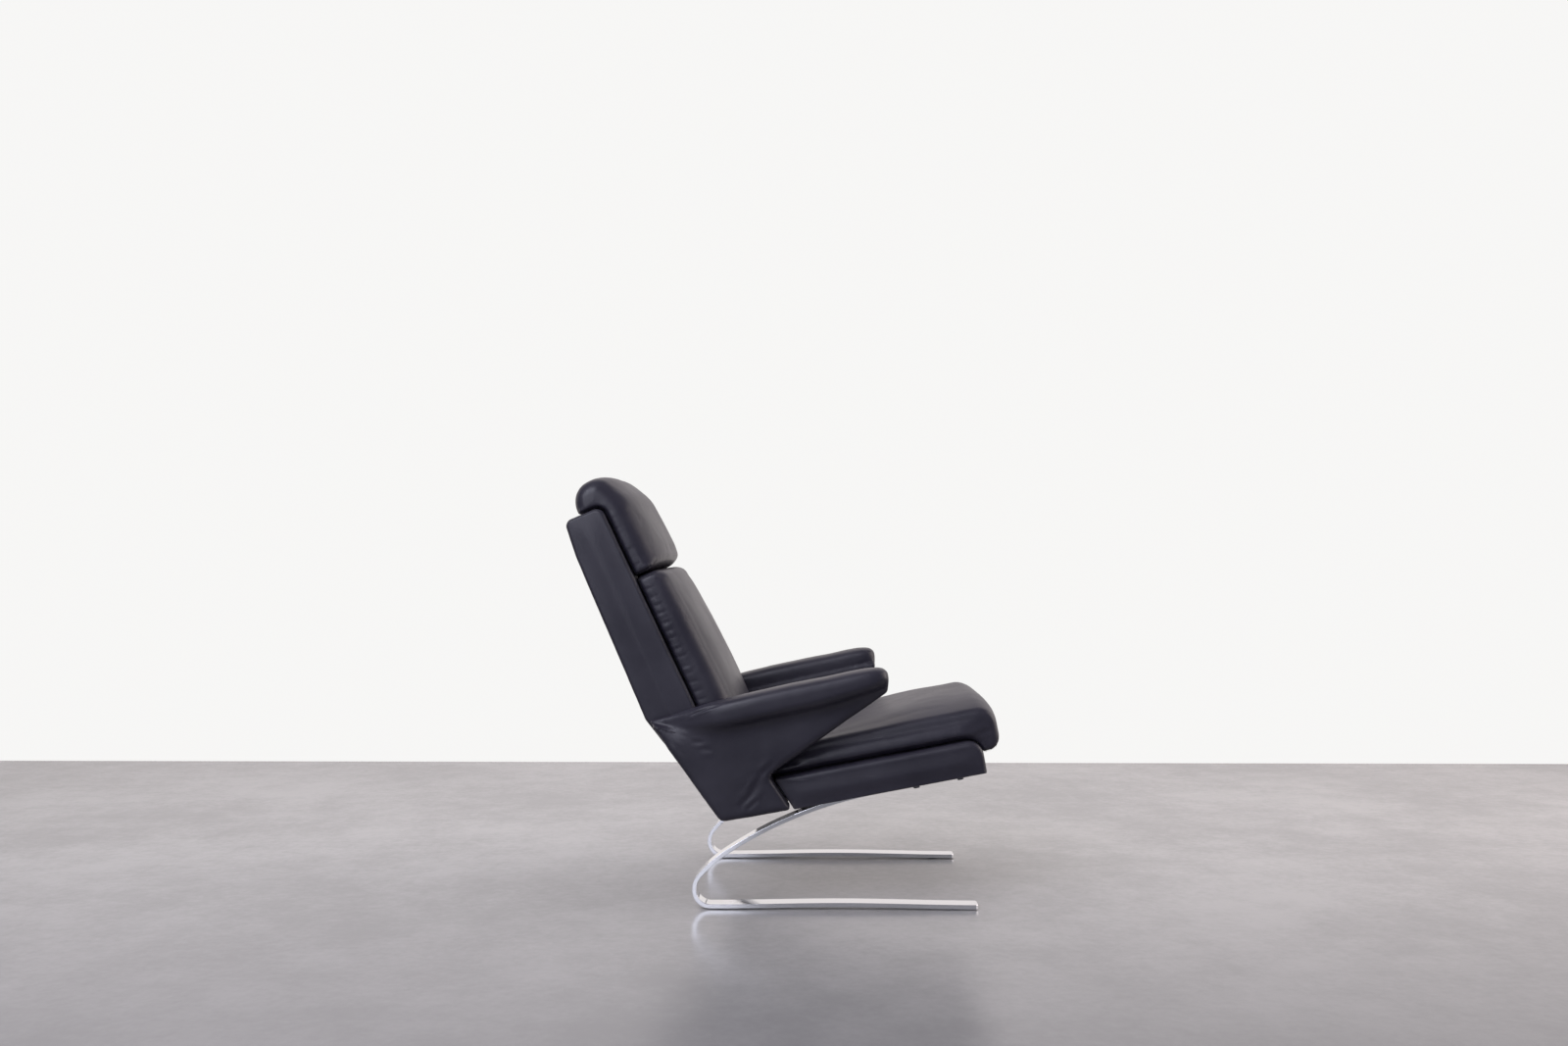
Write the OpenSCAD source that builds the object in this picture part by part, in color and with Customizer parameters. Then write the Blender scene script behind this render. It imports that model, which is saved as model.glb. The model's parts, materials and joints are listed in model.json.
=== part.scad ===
// Cantilever lounge chair. Two flat spring-steel runners carry an upholstered seat box.
// A reclined back shell with side units and arm pads stands behind it, and loose leather
// cushions lie on the seat, against the back and over the top of the back.
// X points forward, Y to the sitter's left and Z up. The floor is z = 0. Millimetres.

/* [Runners] */
// Width of the flat steel bar
bar_w = 45; // [38:1:48]
// Thickness of the flat steel bar
bar_t = 10; // [8:0.5:12]
// Length of the foot from the start of the bend to the tip
foot_len = 621; // [560:1:680]
// Height of the spring arch in the middle of the foot
foot_arch = 4; // [0:0.5:8]
// Centre-line radius of the rear bend
bend_r = 38; // [30:1:46]
// Centre-line radius of the stretch above the bend
rise_r = 50; // [42:1:60]
// Angle of the stretch above the bend
rise_angle = 41.5; // [38:0.5:45]
// Centre-line radius of the lower arm
lower_arm_r = 310; // [280:5:340]
// Angle of the lower arm
lower_arm_angle = 15.5; // [13:0.5:18]
// Centre-line radius of the upper arm
upper_arm_r = 980; // [920:5:1040]
// Distance from the bolted end of the bar to the front of the seat box
bar_end_inset = 8.5; // [5:0.5:30]
// Height of the glide pads under the feet
glide_h = 2; // [1:0.5:4]
// Diameter of a glide pad
glide_d = 32; // [20:1:40]

/* [Seat box] */
// Pitch of the seat
seat_tilt = 10.8; // [8:0.1:13]
// Overall width of the seat box
box_w = 600; // [580:2:640]
// Length of the seat box along its underside
box_len = 452; // [430:1:480]
// Height of the seat box
box_h = 80; // [72:1:90]
// Radius of the box's front top edge
box_nose_r = 35; // [25:1:40]
// Thickness of the leather and padding over the seat frame
box_wall = 7.2; // [6:0.2:8]
// Distance from the box's rear lower edge to the end of the runner's curve
box_mount = 193.5; // [180:0.5:205]
// Width of the frame's rails
rail_w = 42; // [36:1:48]

/* [Seat cushion] */
// Width of the loose cushions
cushion_w = 548; // [530:2:550]
// Thickness of the seat cushion at its edges
seat_pad_t = 66; // [55:1:80]
// Height that the seat cushion's top crowns above its edges
seat_crown = 28; // [8:1:30]
// Depth of the lip that the cushion hangs over the front of the box
lip_t = 45; // [40:1:60]
// How far the lip hangs below the top of the box
lip_drop = 30; // [20:1:40]
// Radius of the cushions' side edges
cushion_edge_r = 32; // [14:1:34]

/* [Back shell] */
// Recline of the back from upright
back_lean = 25.4; // [22:0.2:29]
// Height of the back shell above the seat deck, along the back
back_h = 720; // [640:5:780]
// Width of the back shell above the arms
back_w = 580; // [572:2:600]
// Depth of the back shell at its top
back_top_depth = 92; // [80:1:100]
// Depth of the back shell where the arms meet it
back_low_depth = 118; // [105:1:130]
// Distance from the seat frame's rear edge back to the foot of the back's front face
back_setback = 136; // [126:1:150]
// Thickness of the leather and foam over the back frame
shell_wall = 10; // [8:0.5:12]

/* [Back cushion] */
// Height of the back cushion's top edge above the seat deck, along the back
back_pad_top = 535.5; // [500:0.5:560]
// Thickness of the back cushion at its edges
back_pad_t = 70; // [60:1:80]
// Height that the back cushion's face crowns above its edges
back_crown = 26; // [8:1:30]

/* [Head cushion] */
// Thickness of the head cushion's front slab at its edges
head_pad_t = 56; // [46:1:64]
// Thickness of the head cushion above the top of the back
head_top_t = 66; // [56:1:80]
// How far the head cushion reaches over the top of the back
head_reach = 61; // [40:1:66]
// Gap between the head cushion and the back cushion
head_gap = 1.5; // [1:0.5:10]
// How far the front of the head cushion crowns out of its edges
head_crown = 30; // [6:1:34]
// How far the top of the head cushion crowns above its edges
head_top_crown = 13; // [6:1:26]

/* [Side units] */
// Overall width over the arm pads
chair_w = 730; // [720:2:760]
// Thickness of a side panel
panel_t = 58; // [50:1:60]
// Height of the arm pads' underside above the seat frame's plane
arm_under_v = 250; // [236:1:264]
// Height of an arm pad
arm_pad_h = 45; // [40:1:60]
// How far the arm pads reach in front of the seat box's rear edge
arm_reach = 267; // [240:1:290]
// Thickness of the plywood in the side units
ply_t = 18; // [15:1:21]

/* [Fasteners] */
// Diameter of the bolts
bolt_d = 8; // [6:0.5:10]
// Across the heads of the bolts
bolt_head_d = 15; // [12:0.5:18]
// Height of the bolt heads
bolt_head_h = 5; // [4:0.5:7]
// Distance from the front end of the runner to its first bolt
bolt_inset = 54; // [40:1:70]
// Distance between the two bolts of a runner
bolt_pitch = 104; // [80:1:130]

/* [Hidden] */

// Finishes
chrome = "silver";
leather = [0.16, 0.16, 0.19];
timber = "burlywood";
foam = "beige";
steel = "dimgray";
cloth = [0.1, 0.1, 0.1];
nylon = [0.25, 0.25, 0.25];

// Clearances
gap = 0.3;
bolt_clear = 1;
side_clear = 2;
overrun = 20;
quarter_turn = 90;
half_turn = 180;

// Facets of the round hardware, and steps of the soft forms
round_facets = 48;
bend_facets = 192;
arc_steps = 4;
edge_steps = 3;
crown_steps = 6;
least_r = 0.4;

// Driving places that follow from the sizes above
foot_rear_x = -172.8;
foot_front_x = foot_rear_x + foot_len;
bar_z = glide_h + bar_t / 2;
recline = back_lean - seat_tilt;
runner_y = box_w / 2 - box_wall - gap - bar_w / 2;
cushion_half = cushion_w / 2;
clear_half = cushion_half + side_clear;
panel_outer = clear_half + panel_t;
rail_in = box_w / 2 - box_wall - gap - rail_w;

// Points are [x, z] pairs. A heading is an angle from forwards, turning upwards.
function unit(v) = v / norm(v);
function polar(r, a) = [r * cos(a), r * sin(a)];
function turned(p, a) = [p[0] * cos(a) - p[1] * sin(a), p[0] * sin(a) + p[1] * cos(a)];
function right_of(d) = [d[1], -d[0]];
function cross_z(a, b) = a[0] * b[1] - a[1] * b[0];
function mix(a, b, share) = a + (b - a) * share;
function ease(share) = let (s = max(0, min(1, share))) s * s * (3 - 2 * s);

// The runner's centre line turns forwards through a chain of arcs. Each entry is an arc's
// centre, its radius, its first heading and its angle.
function arc_centre(p, heading, r) = p + polar(r, heading - quarter_turn);
function arc_end(p, heading, r, angle) =
    arc_centre(p, heading, r) + polar(r, heading - angle + quarter_turn);
bend_start = [foot_rear_x, bar_z];
bend_centre = arc_centre(bend_start, half_turn, bend_r);
bend_end = arc_end(bend_start, half_turn, bend_r, quarter_turn);
rise_end = arc_end(bend_end, quarter_turn, rise_r, rise_angle);
lower_heading = quarter_turn - rise_angle;
lower_end = arc_end(rise_end, lower_heading, lower_arm_r, lower_arm_angle);
upper_heading = lower_heading - lower_arm_angle;
upper_arm_angle = upper_heading - seat_tilt;
upper_end = arc_end(lower_end, upper_heading, upper_arm_r, upper_arm_angle);
rise_steps = 8;
lower_steps = 5;
upper_steps = 14;

// The seat's own axes: u runs forward along the box's underside and v stands square to it.
// The underside of the bolted bar is flush with the box's lower edge.
seat_origin = upper_end - turned([box_mount, bar_t / 2], seat_tilt);
bar_end_u = box_len - bar_end_inset;
arm_end_len = bar_end_u - box_mount;

module at_seat() {
    translate([seat_origin[0], 0, seat_origin[1]])
        rotate([0, -seat_tilt, 0])
            children();
}

// The back's own axes: n points forward out of the back and h runs up along it.
// They start where the front of the back meets the seat deck.
module at_back() {
    at_seat()
        translate([-back_setback, 0, box_h])
            rotate([0, -recline, 0])
                children();
}

function back_from_seat(p) = turned(p - [-back_setback, box_h], -recline);
function seat_from_back(p) = turned(p, recline) + [-back_setback, box_h];

// Outlines of soft forms. A corner is [x, z, radius, cuts], counter-clockwise as seen from
// the right side of the chair, and cuts is how many points divide the edge that follows it.
// The outline is a list of [x, z, outward x, outward z], drawn in by an inset.
function corner(c, i) = let (k = (i + len(c)) % len(c)) [c[k][0], c[k][1]];
function corner_arc(c, i, inset) = let (
    p = corner(c, i),
    d1 = unit(p - corner(c, i - 1)),
    d2 = unit(corner(c, i + 1) - p),
    side = cross_z(d1, d2) < 0 ? -1 : 1,
    angle = acos(max(-1, min(1, d1 * d2))),
    n1 = right_of(d1),
    n2 = right_of(d2),
    at = p - (n1 + n2) * inset / (1 + n1 * n2),
    r = max(c[i][2] - side * inset, least_r),
    centre = at - d1 * r * tan(angle / 2) - n1 * r * side
) [for (k = [0 : arc_steps])
    let (out = turned(n1, side * angle * k / arc_steps))
        [centre[0] + out[0] * r * side, centre[1] + out[1] * r * side, out[0], out[1]]];
function outline(c, inset) = let (
    arcs = [for (i = [0 : len(c) - 1]) corner_arc(c, i, inset)],
    n = len(c)
) [for (i = [0 : n - 1])
    each concat(arcs[i], [for (k = [1 : 1 : c[i][3]])
        mix(arcs[i][arc_steps], arcs[(i + 1) % n][0], k / (c[i][3] + 1))])];
function flat_outline(c, inset) = [for (p = outline(c, inset)) [p[0], p[1]]];

// A plain polygon with sharp corners, drawn in by an inset.
function mitred(c, inset) = [for (i = [0 : len(c) - 1]) let (
    p = corner(c, i),
    n1 = right_of(unit(p - corner(c, i - 1))),
    n2 = right_of(unit(corner(c, i + 1) - p)))
        p - (n1 + n2) * inset / (1 + n1 * n2)];

// Stations across a soft form from left to right, as [y, inset], with rounded side edges.
function half_stations(half, edge_r) =
    [for (k = [edge_steps - 1 : -1 : 0])
        let (a = quarter_turn * (edge_steps - k) / edge_steps)
            [half - edge_r + edge_r * sin(a), edge_r * (1 - cos(a))]];
function stations(half, edge_r) = let (
    left = half_stations(half, edge_r),
    inner = half - edge_r
) concat(
    [for (k = [len(left) - 1 : -1 : 0]) left[k]],
    [for (k = [0 : crown_steps]) [inner * (1 - 2 * k / crown_steps), 0]],
    [for (s = left) [-s[0], s[1]]]);

// A closed skin over rings of points. A cap fans out from its hub, and each hub sees the
// whole of its ring.
module loft(rings, first_hub, last_hub) {
    n = len(rings[0]);
    last = len(rings) - 1;
    points = concat([for (r = rings) each r], [first_hub, last_hub]);
    skin = [for (j = [0 : last - 1]) for (i = [0 : n - 1])
        let (a = j * n + i, b = j * n + (i + 1) % n)
            each [[a, a + n, b + n], [a, b + n, b]]];
    first_cap = [for (i = [0 : n - 1]) [(i + 1) % n, len(points) - 2, i]];
    last_cap = [for (i = [0 : n - 1])
        [last * n + i, len(points) - 1, last * n + (i + 1) % n]];
    polyhedron(points, concat(skin, first_cap, last_cap));
}

// A soft form across the chair. lift moves a point of the outline, given the point and its
// place from -1 to 1 across the form. hub is a place that sees the whole outline.
module soft_form(c, half, edge_r, hub, lift) {
    rows = [for (s = stations(half, edge_r))
        [for (p = outline(c, s[1]))
            let (move = lift(p, s[0] / half))
                [p[0] + move[0], s[0], p[1] + move[1]]]];
    loft(rows, [hub[0], half, hub[1]], [hub[0], -half, hub[1]]);
}

still = function (p, t) [0, 0];

// A slab whose left edge is rounded and whose right face is flat.
module one_sided_form(c, half, edge_r, hub) {
    left = half_stations(half, edge_r);
    rows = [for (s = concat([for (k = [len(left) - 1 : -1 : 0]) left[k]], [[-half, 0]]))
        [for (p = outline(c, s[1])) [p[0], s[0], p[1]]]];
    loft(rows, [hub[0], half, hub[1]], [hub[0], -half, hub[1]]);
}

// A prism of an [x, z] outline between two places across the chair.
module prism(points, y0, y1) {
    translate([0, y1, 0])
        rotate([quarter_turn, 0, 0])
            linear_extrude(height = y1 - y0)
                polygon(points);
}

module box(low, high) {
    translate(low)
        cube(high - low);
}

module both_sides() {
    children();
    mirror([0, 1, 0])
        children();
}

// A pin standing on [x, y] from z0 up to z1.
module post(x, y, z0, z1, d) {
    translate([x, y, z0])
        cylinder(h = z1 - z0, d = d, $fn = round_facets);
}

// A pin lying across the chair at [x, z] from y0 to y1.
module cross_post(x, z, y0, y1, d) {
    translate([x, y0, z])
        rotate([-quarter_turn, 0, 0])
            cylinder(h = y1 - y0, d = d, $fn = round_facets);
}

// Runners. The foot arches like a leaf spring and its tip has cut corners.
tip_cut = 5;
foot_steps = 16;
glide_rear_inset = 24;
glide_front_inset = 56;

function arch_z(share) = foot_arch * pow(sin(half_turn * share), 2);
function arc_points(p, heading, r, angle, shift, steps) =
    [for (k = [0 : steps])
        arc_centre(p, heading, r)
            + polar(r + shift, heading - angle * k / steps + quarter_turn)];

module runner_foot(side) {
    top = [for (k = [0 : foot_steps])
        [foot_rear_x + foot_len * k / foot_steps, glide_h + bar_t + arch_z(k / foot_steps)]];
    bottom = [for (k = [foot_steps : -1 : 0])
        [foot_rear_x + foot_len * k / foot_steps, glide_h + arch_z(k / foot_steps)]];
    color(chrome)
        translate([0, side * runner_y, 0])
            intersection() {
                prism(concat(bottom, top), -bar_w / 2, bar_w / 2);
                linear_extrude(height = box_h)
                    polygon([
                        [foot_rear_x, -bar_w / 2], [foot_front_x - tip_cut, -bar_w / 2],
                        [foot_front_x, tip_cut - bar_w / 2], [foot_front_x, bar_w / 2 - tip_cut],
                        [foot_front_x - tip_cut, bar_w / 2], [foot_rear_x, bar_w / 2]
                    ]);
            }
}

module runner_bend(side) {
    color(chrome)
        translate([bend_centre[0], side * runner_y, bend_centre[1]])
            rotate([quarter_turn, 0, 0])
                rotate([0, 0, half_turn])
                    rotate_extrude(angle = quarter_turn, $fn = bend_facets)
                        translate([bend_r - bar_t / 2, -bar_w / 2])
                            square([bar_t, bar_w]);
}

module runner_arm(side) {
    edge = function (shift) concat(
        arc_points(bend_end, quarter_turn, rise_r, rise_angle, shift, rise_steps),
        [for (k = [1 : lower_steps]) arc_points(rise_end, lower_heading, lower_arm_r,
            lower_arm_angle, shift, lower_steps)[k]],
        [for (k = [1 : upper_steps]) arc_points(lower_end, upper_heading, upper_arm_r,
            upper_arm_angle, shift, upper_steps)[k]],
        [upper_end + polar(arm_end_len, seat_tilt) + polar(shift, seat_tilt + quarter_turn)]);
    outer = edge(bar_t / 2);
    inner = edge(-bar_t / 2);
    color(chrome)
        difference() {
            translate([0, side * runner_y, 0])
                prism(concat(inner, [for (k = [len(outer) - 1 : -1 : 0]) outer[k]]),
                    -bar_w / 2, bar_w / 2);
            at_seat()
                for (u = bolt_us)
                    post(u, side * runner_y, -overrun, bar_t + overrun, bolt_hole_d);
        }
}

// A glide reaches up to the lowest place of the foot above it.
module glide(x, towards_end) {
    low_x = x + towards_end * glide_d / 2;
    post(x, runner_y, 0, glide_h + arch_z((low_x - foot_rear_x) / foot_len), glide_d);
}

module foot_glides() {
    color(nylon)
        both_sides() {
            glide(foot_rear_x + glide_rear_inset, -1);
            glide(foot_front_x - glide_front_inset, 1);
        }
}

// Bolts and nuts that hold the runners. The nuts sit in pockets that open at the top of
// the side rails.
bolt_hole_d = bolt_d + bolt_clear;
washer_t = 1.5;
nut_d = 14;
nut_h = 12;
nut_v = 36;
bolt_us = [bar_end_u - bolt_inset, bar_end_u - bolt_inset - bolt_pitch];

module runner_bolts() {
    color(steel)
        at_seat()
            both_sides()
                for (u = bolt_us) {
                    post(u, runner_y, -washer_t, 0, bolt_head_d + 2 * washer_t);
                    post(u, runner_y, -washer_t - bolt_head_h, 0, bolt_head_d);
                    post(u, runner_y, -washer_t, nut_v + nut_h, bolt_d);
                }
}

module runner_nuts() {
    color(steel)
        at_seat()
            both_sides()
                for (u = bolt_us)
                    difference() {
                        post(u, runner_y, nut_v, nut_v + nut_h, nut_d);
                        post(u, runner_y, nut_v - overrun, nut_v + overrun, bolt_d + gap / 2);
                    }
}

// Seat box: a leather-covered skirt and deck over a timber frame. Its rear face leans
// back with the knee of the side panels.
box_rear_slope = 38;
box_rear_run = 5;
box_edge_r = 5;
box_low_r = 5;
box_corners = [
    [-box_rear_run, 0, box_low_r, 0], [box_len, 0, box_low_r, 0],
    [box_len, box_h, box_nose_r, 0], [-box_rear_slope, box_h, box_edge_r, 0]
];
box_hub = [box_len / 2, box_h / 2];
strap_t = 1.4;
strap_w = 48;
cloth_t = 1.5;
frame_base_v = bar_t + gap;
frame_top_v = box_h - box_wall - 2 * strap_t - gap;
frame_skin = box_wall + gap;
frame_front_r = 24;
frame_u0 = frame_skin;
frame_u1 = box_len - frame_skin;
frame_half = box_w / 2 - frame_skin;

// The brackets that join the seat frame to the back frame lie flat against both.
bracket_t = 6;
bracket_h = 30;
bracket_v = 24;
bracket_front_u = 110;
bracket_rear_u = -96;
bracket_y0 = rail_in - gap - bracket_t;
bracket_slot_gap = 1;
bracket_edge = 12;
bracket_pitch = 24;
bracket_bolt_us = [
    bracket_front_u - bracket_edge - bracket_pitch, bracket_front_u - bracket_edge,
    bracket_rear_u + bracket_edge, bracket_rear_u + bracket_edge + bracket_pitch
];

module bracket_slots() {
    both_sides()
        box([bracket_rear_u - bracket_slot_gap, bracket_y0 - bracket_slot_gap,
                bracket_v - bracket_slot_gap],
            [bracket_front_u, bracket_y0 + bracket_t + bracket_slot_gap,
                bracket_v + bracket_h + bracket_slot_gap]);
}

// The runners run up into recesses along the underside of the box.
module runner_recesses() {
    both_sides()
        box([-overrun - box_rear_slope, runner_y - bar_w / 2 - gap, -overrun],
            [bar_end_u + gap, runner_y + bar_w / 2 + gap, bar_t + gap / 2]);
}

module seat_box() {
    color(leather)
        at_seat()
            difference() {
                soft_form(box_corners, box_w / 2, box_edge_r, box_hub, still);
                prism(flat_outline(box_corners, box_wall), box_wall - box_w / 2,
                    box_w / 2 - box_wall);
                box([box_wall, box_wall - box_w / 2, -overrun],
                    [box_len - box_wall, box_w / 2 - box_wall, box_h / 2]);
                runner_recesses();
                bracket_slots();
            }
}

module seat_frame() {
    color(timber)
        at_seat()
            difference() {
                prism([
                        [frame_u0, frame_base_v], [frame_u1, frame_base_v],
                        [frame_u1, frame_top_v - frame_front_r],
                        [frame_u1 - frame_front_r, frame_top_v],
                        [frame_u0, frame_top_v]
                    ], -frame_half, frame_half);
                box([frame_u0 + rail_w, -rail_in, -overrun],
                    [frame_u1 - rail_w, rail_in, box_h + overrun]);
                bracket_slots();
                both_sides()
                    for (u = bolt_us) {
                        post(u, runner_y, -overrun, box_h + overrun, bolt_hole_d);
                        post(u, runner_y, nut_v - gap, box_h + overrun, nut_d + gap);
                    }
                both_sides()
                    for (u = [bracket_bolt_us[0], bracket_bolt_us[1]])
                        cross_post(u, bracket_v + bracket_h / 2, rail_in - overrun,
                            rail_in + rail_w + overrun, bolt_hole_d);
            }
}

// Webbing lies on top of the frame: straps across, and straps along on top of them.
cross_straps = 5;
long_straps = 6;
strap_margin = 6;

module seat_webbing() {
    across_v = frame_top_v;
    along_v = across_v + strap_t;
    u_pitch = (frame_u1 - frame_front_r - frame_u0 - strap_w - 2 * strap_margin) / (cross_straps - 1);
    y_pitch = (2 * rail_in - strap_w) / (long_straps - 1);
    color(cloth)
        at_seat() {
            for (k = [0 : cross_straps - 1])
                let (u = frame_u0 + strap_margin + k * u_pitch)
                    box([u, strap_margin - frame_half, across_v],
                        [u + strap_w, frame_half - strap_margin, along_v]);
            for (k = [0 : long_straps - 1])
                let (y = k * y_pitch - rail_in)
                    box([frame_u0 + strap_margin, y, along_v],
                        [frame_u1 - frame_front_r - strap_margin, y + strap_w, along_v + strap_t]);
        }
}

module seat_bottom_cloth() {
    y = runner_y - bar_w / 2 - 2 * gap;
    color(cloth)
        at_seat()
            box([frame_u0 + gap, -y, frame_base_v - cloth_t], [frame_u1 - gap, y, frame_base_v]);
}

// Loose cushions have a leather cover, a foam core and a zip in the hidden face.
cover_t = 11;
core_gap = gap;
zip_h = 6;
zip_share = 0.8;
crown_power = 4;
function crown_share(t) = 1 - pow(abs(t), crown_power);

// Seat cushion. It lies on the deck, its lip hangs over the front of the box, and its
// rear face leans against the back.
deck_v = box_h + gap;
seat_top_v = deck_v + seat_pad_t;
lip_u0 = box_len + gap;
lip_u1 = box_len + lip_t;
lip_v0 = box_h - lip_drop;
rear_low = seat_from_back([gap, gap]);
rear_high = seat_from_back([gap, (seat_top_v - box_h) / cos(recline) - gap * tan(recline)]);
pad_edge_r = 14;
lip_root_r = 18;
lip_inner_r = 6;
lip_low_r = 29;
lip_top_r = 41;
seat_pad_corners = [
    [rear_low[0], deck_v, pad_edge_r, 6], [lip_u0, deck_v, lip_root_r, 0],
    [lip_u0, lip_v0, lip_inner_r, 0], [lip_u1, lip_v0, lip_low_r, 1],
    [lip_u1, seat_top_v, lip_top_r, 10], [rear_high[0], seat_top_v, pad_edge_r, 1]
];
seat_pad_hub = [box_len + lip_t / 2, deck_v + seat_pad_t / 2];
crown_start_u = -45;
crown_full_u = 400;
lip_crown = 12.7;

// The top swells towards the front, and the front face swells between its corners.
seat_lift = function (p, t)
    let (up_share = max(0, p[3]) * ease((p[0] - crown_start_u) / (crown_full_u - crown_start_u)),
        front_share = max(0, p[2]) * ease((p[0] - box_len) / lip_t))
        [lip_crown * front_share * crown_share(t), seat_crown * up_share * crown_share(t)];

module seat_cushion_core() {
    color(foam)
        at_seat()
            prism(flat_outline(seat_pad_corners, cover_t + core_gap),
                cover_t + core_gap - cushion_half, cushion_half - cover_t - core_gap);
}

module zip_slot(h, clear) {
    y = cushion_half * zip_share + clear;
    box([-overrun, -y, h - zip_h / 2 - clear], [cover_t + overrun, y, h + zip_h / 2 + clear]);
}

module zip(h) {
    y = cushion_half * zip_share;
    box([2 * gap, -y, h - zip_h / 2], [cover_t, y, h + zip_h / 2]);
}

zip_rise = 30;
seat_zip_h = zip_rise;
back_zip_h = back_pad_top / 2;
head_zip_h = back_pad_top + head_gap + zip_rise;

module seat_cushion_cover() {
    color(leather)
        difference() {
            at_seat()
                soft_form(seat_pad_corners, cushion_half, cushion_edge_r, seat_pad_hub, seat_lift);
            at_seat()
                prism(flat_outline(seat_pad_corners, cover_t), cover_t - cushion_half,
                    cushion_half - cover_t);
            at_back()
                zip_slot(seat_zip_h, gap);
        }
}

module seat_cushion_zip() {
    color(steel)
        at_back()
            zip(seat_zip_h);
}

// Back shell. Its outline runs up the front of the back, over the top, down the rear to
// the kink behind the arms, and round the floor under the rear of the seat cushion.
heel_run = 175;
heel_rise = 8;
toe_run = 9;
toe_rise = 6;
knee_run = 46;
knee_rise = 92;
low_rear = [-heel_run, heel_rise];
low_front = [-toe_run, toe_rise];
knee = [-knee_run, knee_rise];
kink_h = 225;
shell_reveal = 2;
shell_low_r = 8;
panel_low_r = 5;
shell_foot_r = 12;
shell_brow_r = 20;
shell_top_r = 18;
shell_top_rise = 4;
shell_bulge = 11;
shell_bulge_drop = 80;
shell_bulge_r = 60;
kink_r = 40;
heel_r = 18;
shell_corners = [
    concat(back_from_seat(low_front + [-shell_reveal, shell_reveal]), [shell_low_r, 0]),
    concat(back_from_seat([knee[0] - shell_reveal, box_h]), [shell_low_r, 0]),
    [0, 0, shell_foot_r, 2],
    [0, back_h, shell_brow_r, 0],
    [-back_top_depth, back_h + shell_top_rise, shell_top_r, 0],
    [-back_top_depth - shell_bulge, back_h - shell_bulge_drop, shell_bulge_r, 2],
    [-back_low_depth, kink_h, kink_r, 0],
    concat(back_from_seat(low_rear + [shell_reveal, shell_reveal]), [heel_r, 0])
];
shell_hub = [-back_low_depth / 3, -box_h / 4];
shell_edge_r = 8;
shell_half = back_w / 2;
shell_low_half = clear_half - gap;

// Side panels flank the floor of the shell and rise to the arm pads.
arm_slope_share = 0.033;
tail_run = 295;
tail_v = 262;
tail_u = -tail_run;
crook_run = 235;
arm_under_rear_v = arm_under_v - arm_slope_share * (arm_reach + crook_run);
tip_run = 9;
tip_drop = 19;
tip_reveal = 2;
tip_r = 12;
tip_top_r = 3;
knee_r = 13;
crook_r = 22;
tail_r = 4;
panel_corners = [
    [low_front[0], low_front[1], panel_low_r, 0],
    [knee[0], knee[1], knee_r, 2],
    [arm_reach - tip_run, arm_under_v - tip_drop, tip_r, 0],
    [arm_reach - tip_reveal, arm_under_v - gap, tip_top_r, 4],
    [-crook_run, arm_under_rear_v - gap, crook_r, 0],
    [tail_u, tail_v, tail_r, 2],
    [low_rear[0], low_rear[1], heel_r, 1]
];
panel_hub = [-tail_run / 2, tail_v / 2];
panel_edge_r = 14;

module side_cutters() {
    at_seat()
        both_sides()
            prism(flat_outline(panel_corners, -2 * gap), shell_low_half, shell_half + overrun);
}

window_h0 = 70;
window_h1 = 640;
window_half = 205;

module back_shell() {
    color(leather)
        difference() {
            at_back()
                soft_form(shell_corners, shell_half, shell_edge_r, shell_hub, still);
            at_back()
                prism(flat_outline(shell_corners, shell_wall), shell_wall - shell_low_half,
                    shell_low_half - shell_wall);
            at_back()
                box([-shell_wall - overrun, -window_half, window_h0], [overrun, window_half, window_h1]);
            side_cutters();
            at_seat()
                bracket_slots();
            side_bolt_holes();
        }
}

// Back frame: two plywood cheeks that follow the shell, joined by rails.
cheek_inset = shell_wall + gap;
cheek_out = shell_low_half - shell_wall - gap;
back_rail_t = 20;
back_rail_depth_shares = [-0.51, -0.64, -0.42];
back_rail_h_shares = [0.89, 0.46, -0.014];

module back_frame() {
    color(timber)
        difference() {
            at_back()
                union() {
                    difference() {
                        both_sides()
                            prism(flat_outline(shell_corners, cheek_inset), rail_in, cheek_out);
                        box([-cheek_inset - strap_t - gap, -shell_half, window_h0 - strap_w],
                            [overrun, shell_half, back_h]);
                    }
                    for (k = [0 : len(back_rail_h_shares) - 1])
                        let (n = back_low_depth * back_rail_depth_shares[k],
                            h = back_h * back_rail_h_shares[k])
                            box([n, -rail_in, h], [n + back_rail_t, rail_in, h + 2 * back_rail_t]);
                }
            at_seat()
                both_sides()
                    for (u = [bracket_bolt_us[2], bracket_bolt_us[3]])
                        cross_post(u, bracket_v + bracket_h / 2, rail_in - overrun,
                            cheek_out + overrun, bolt_hole_d);
            side_bolt_holes();
        }
}

// Webbing behind the front face of the back, stretched between the cheeks.
back_straps = 6;
back_strap_w = 60;

module back_webbing() {
    h_pitch = (window_h1 - window_h0 - back_strap_w) / (back_straps - 1);
    color(cloth)
        at_back()
            for (k = [0 : back_straps - 1])
                let (h = window_h0 + k * h_pitch)
                    box([-cheek_inset - strap_t, -cheek_out, h],
                        [-cheek_inset, cheek_out, h + back_strap_w]);
}

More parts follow.
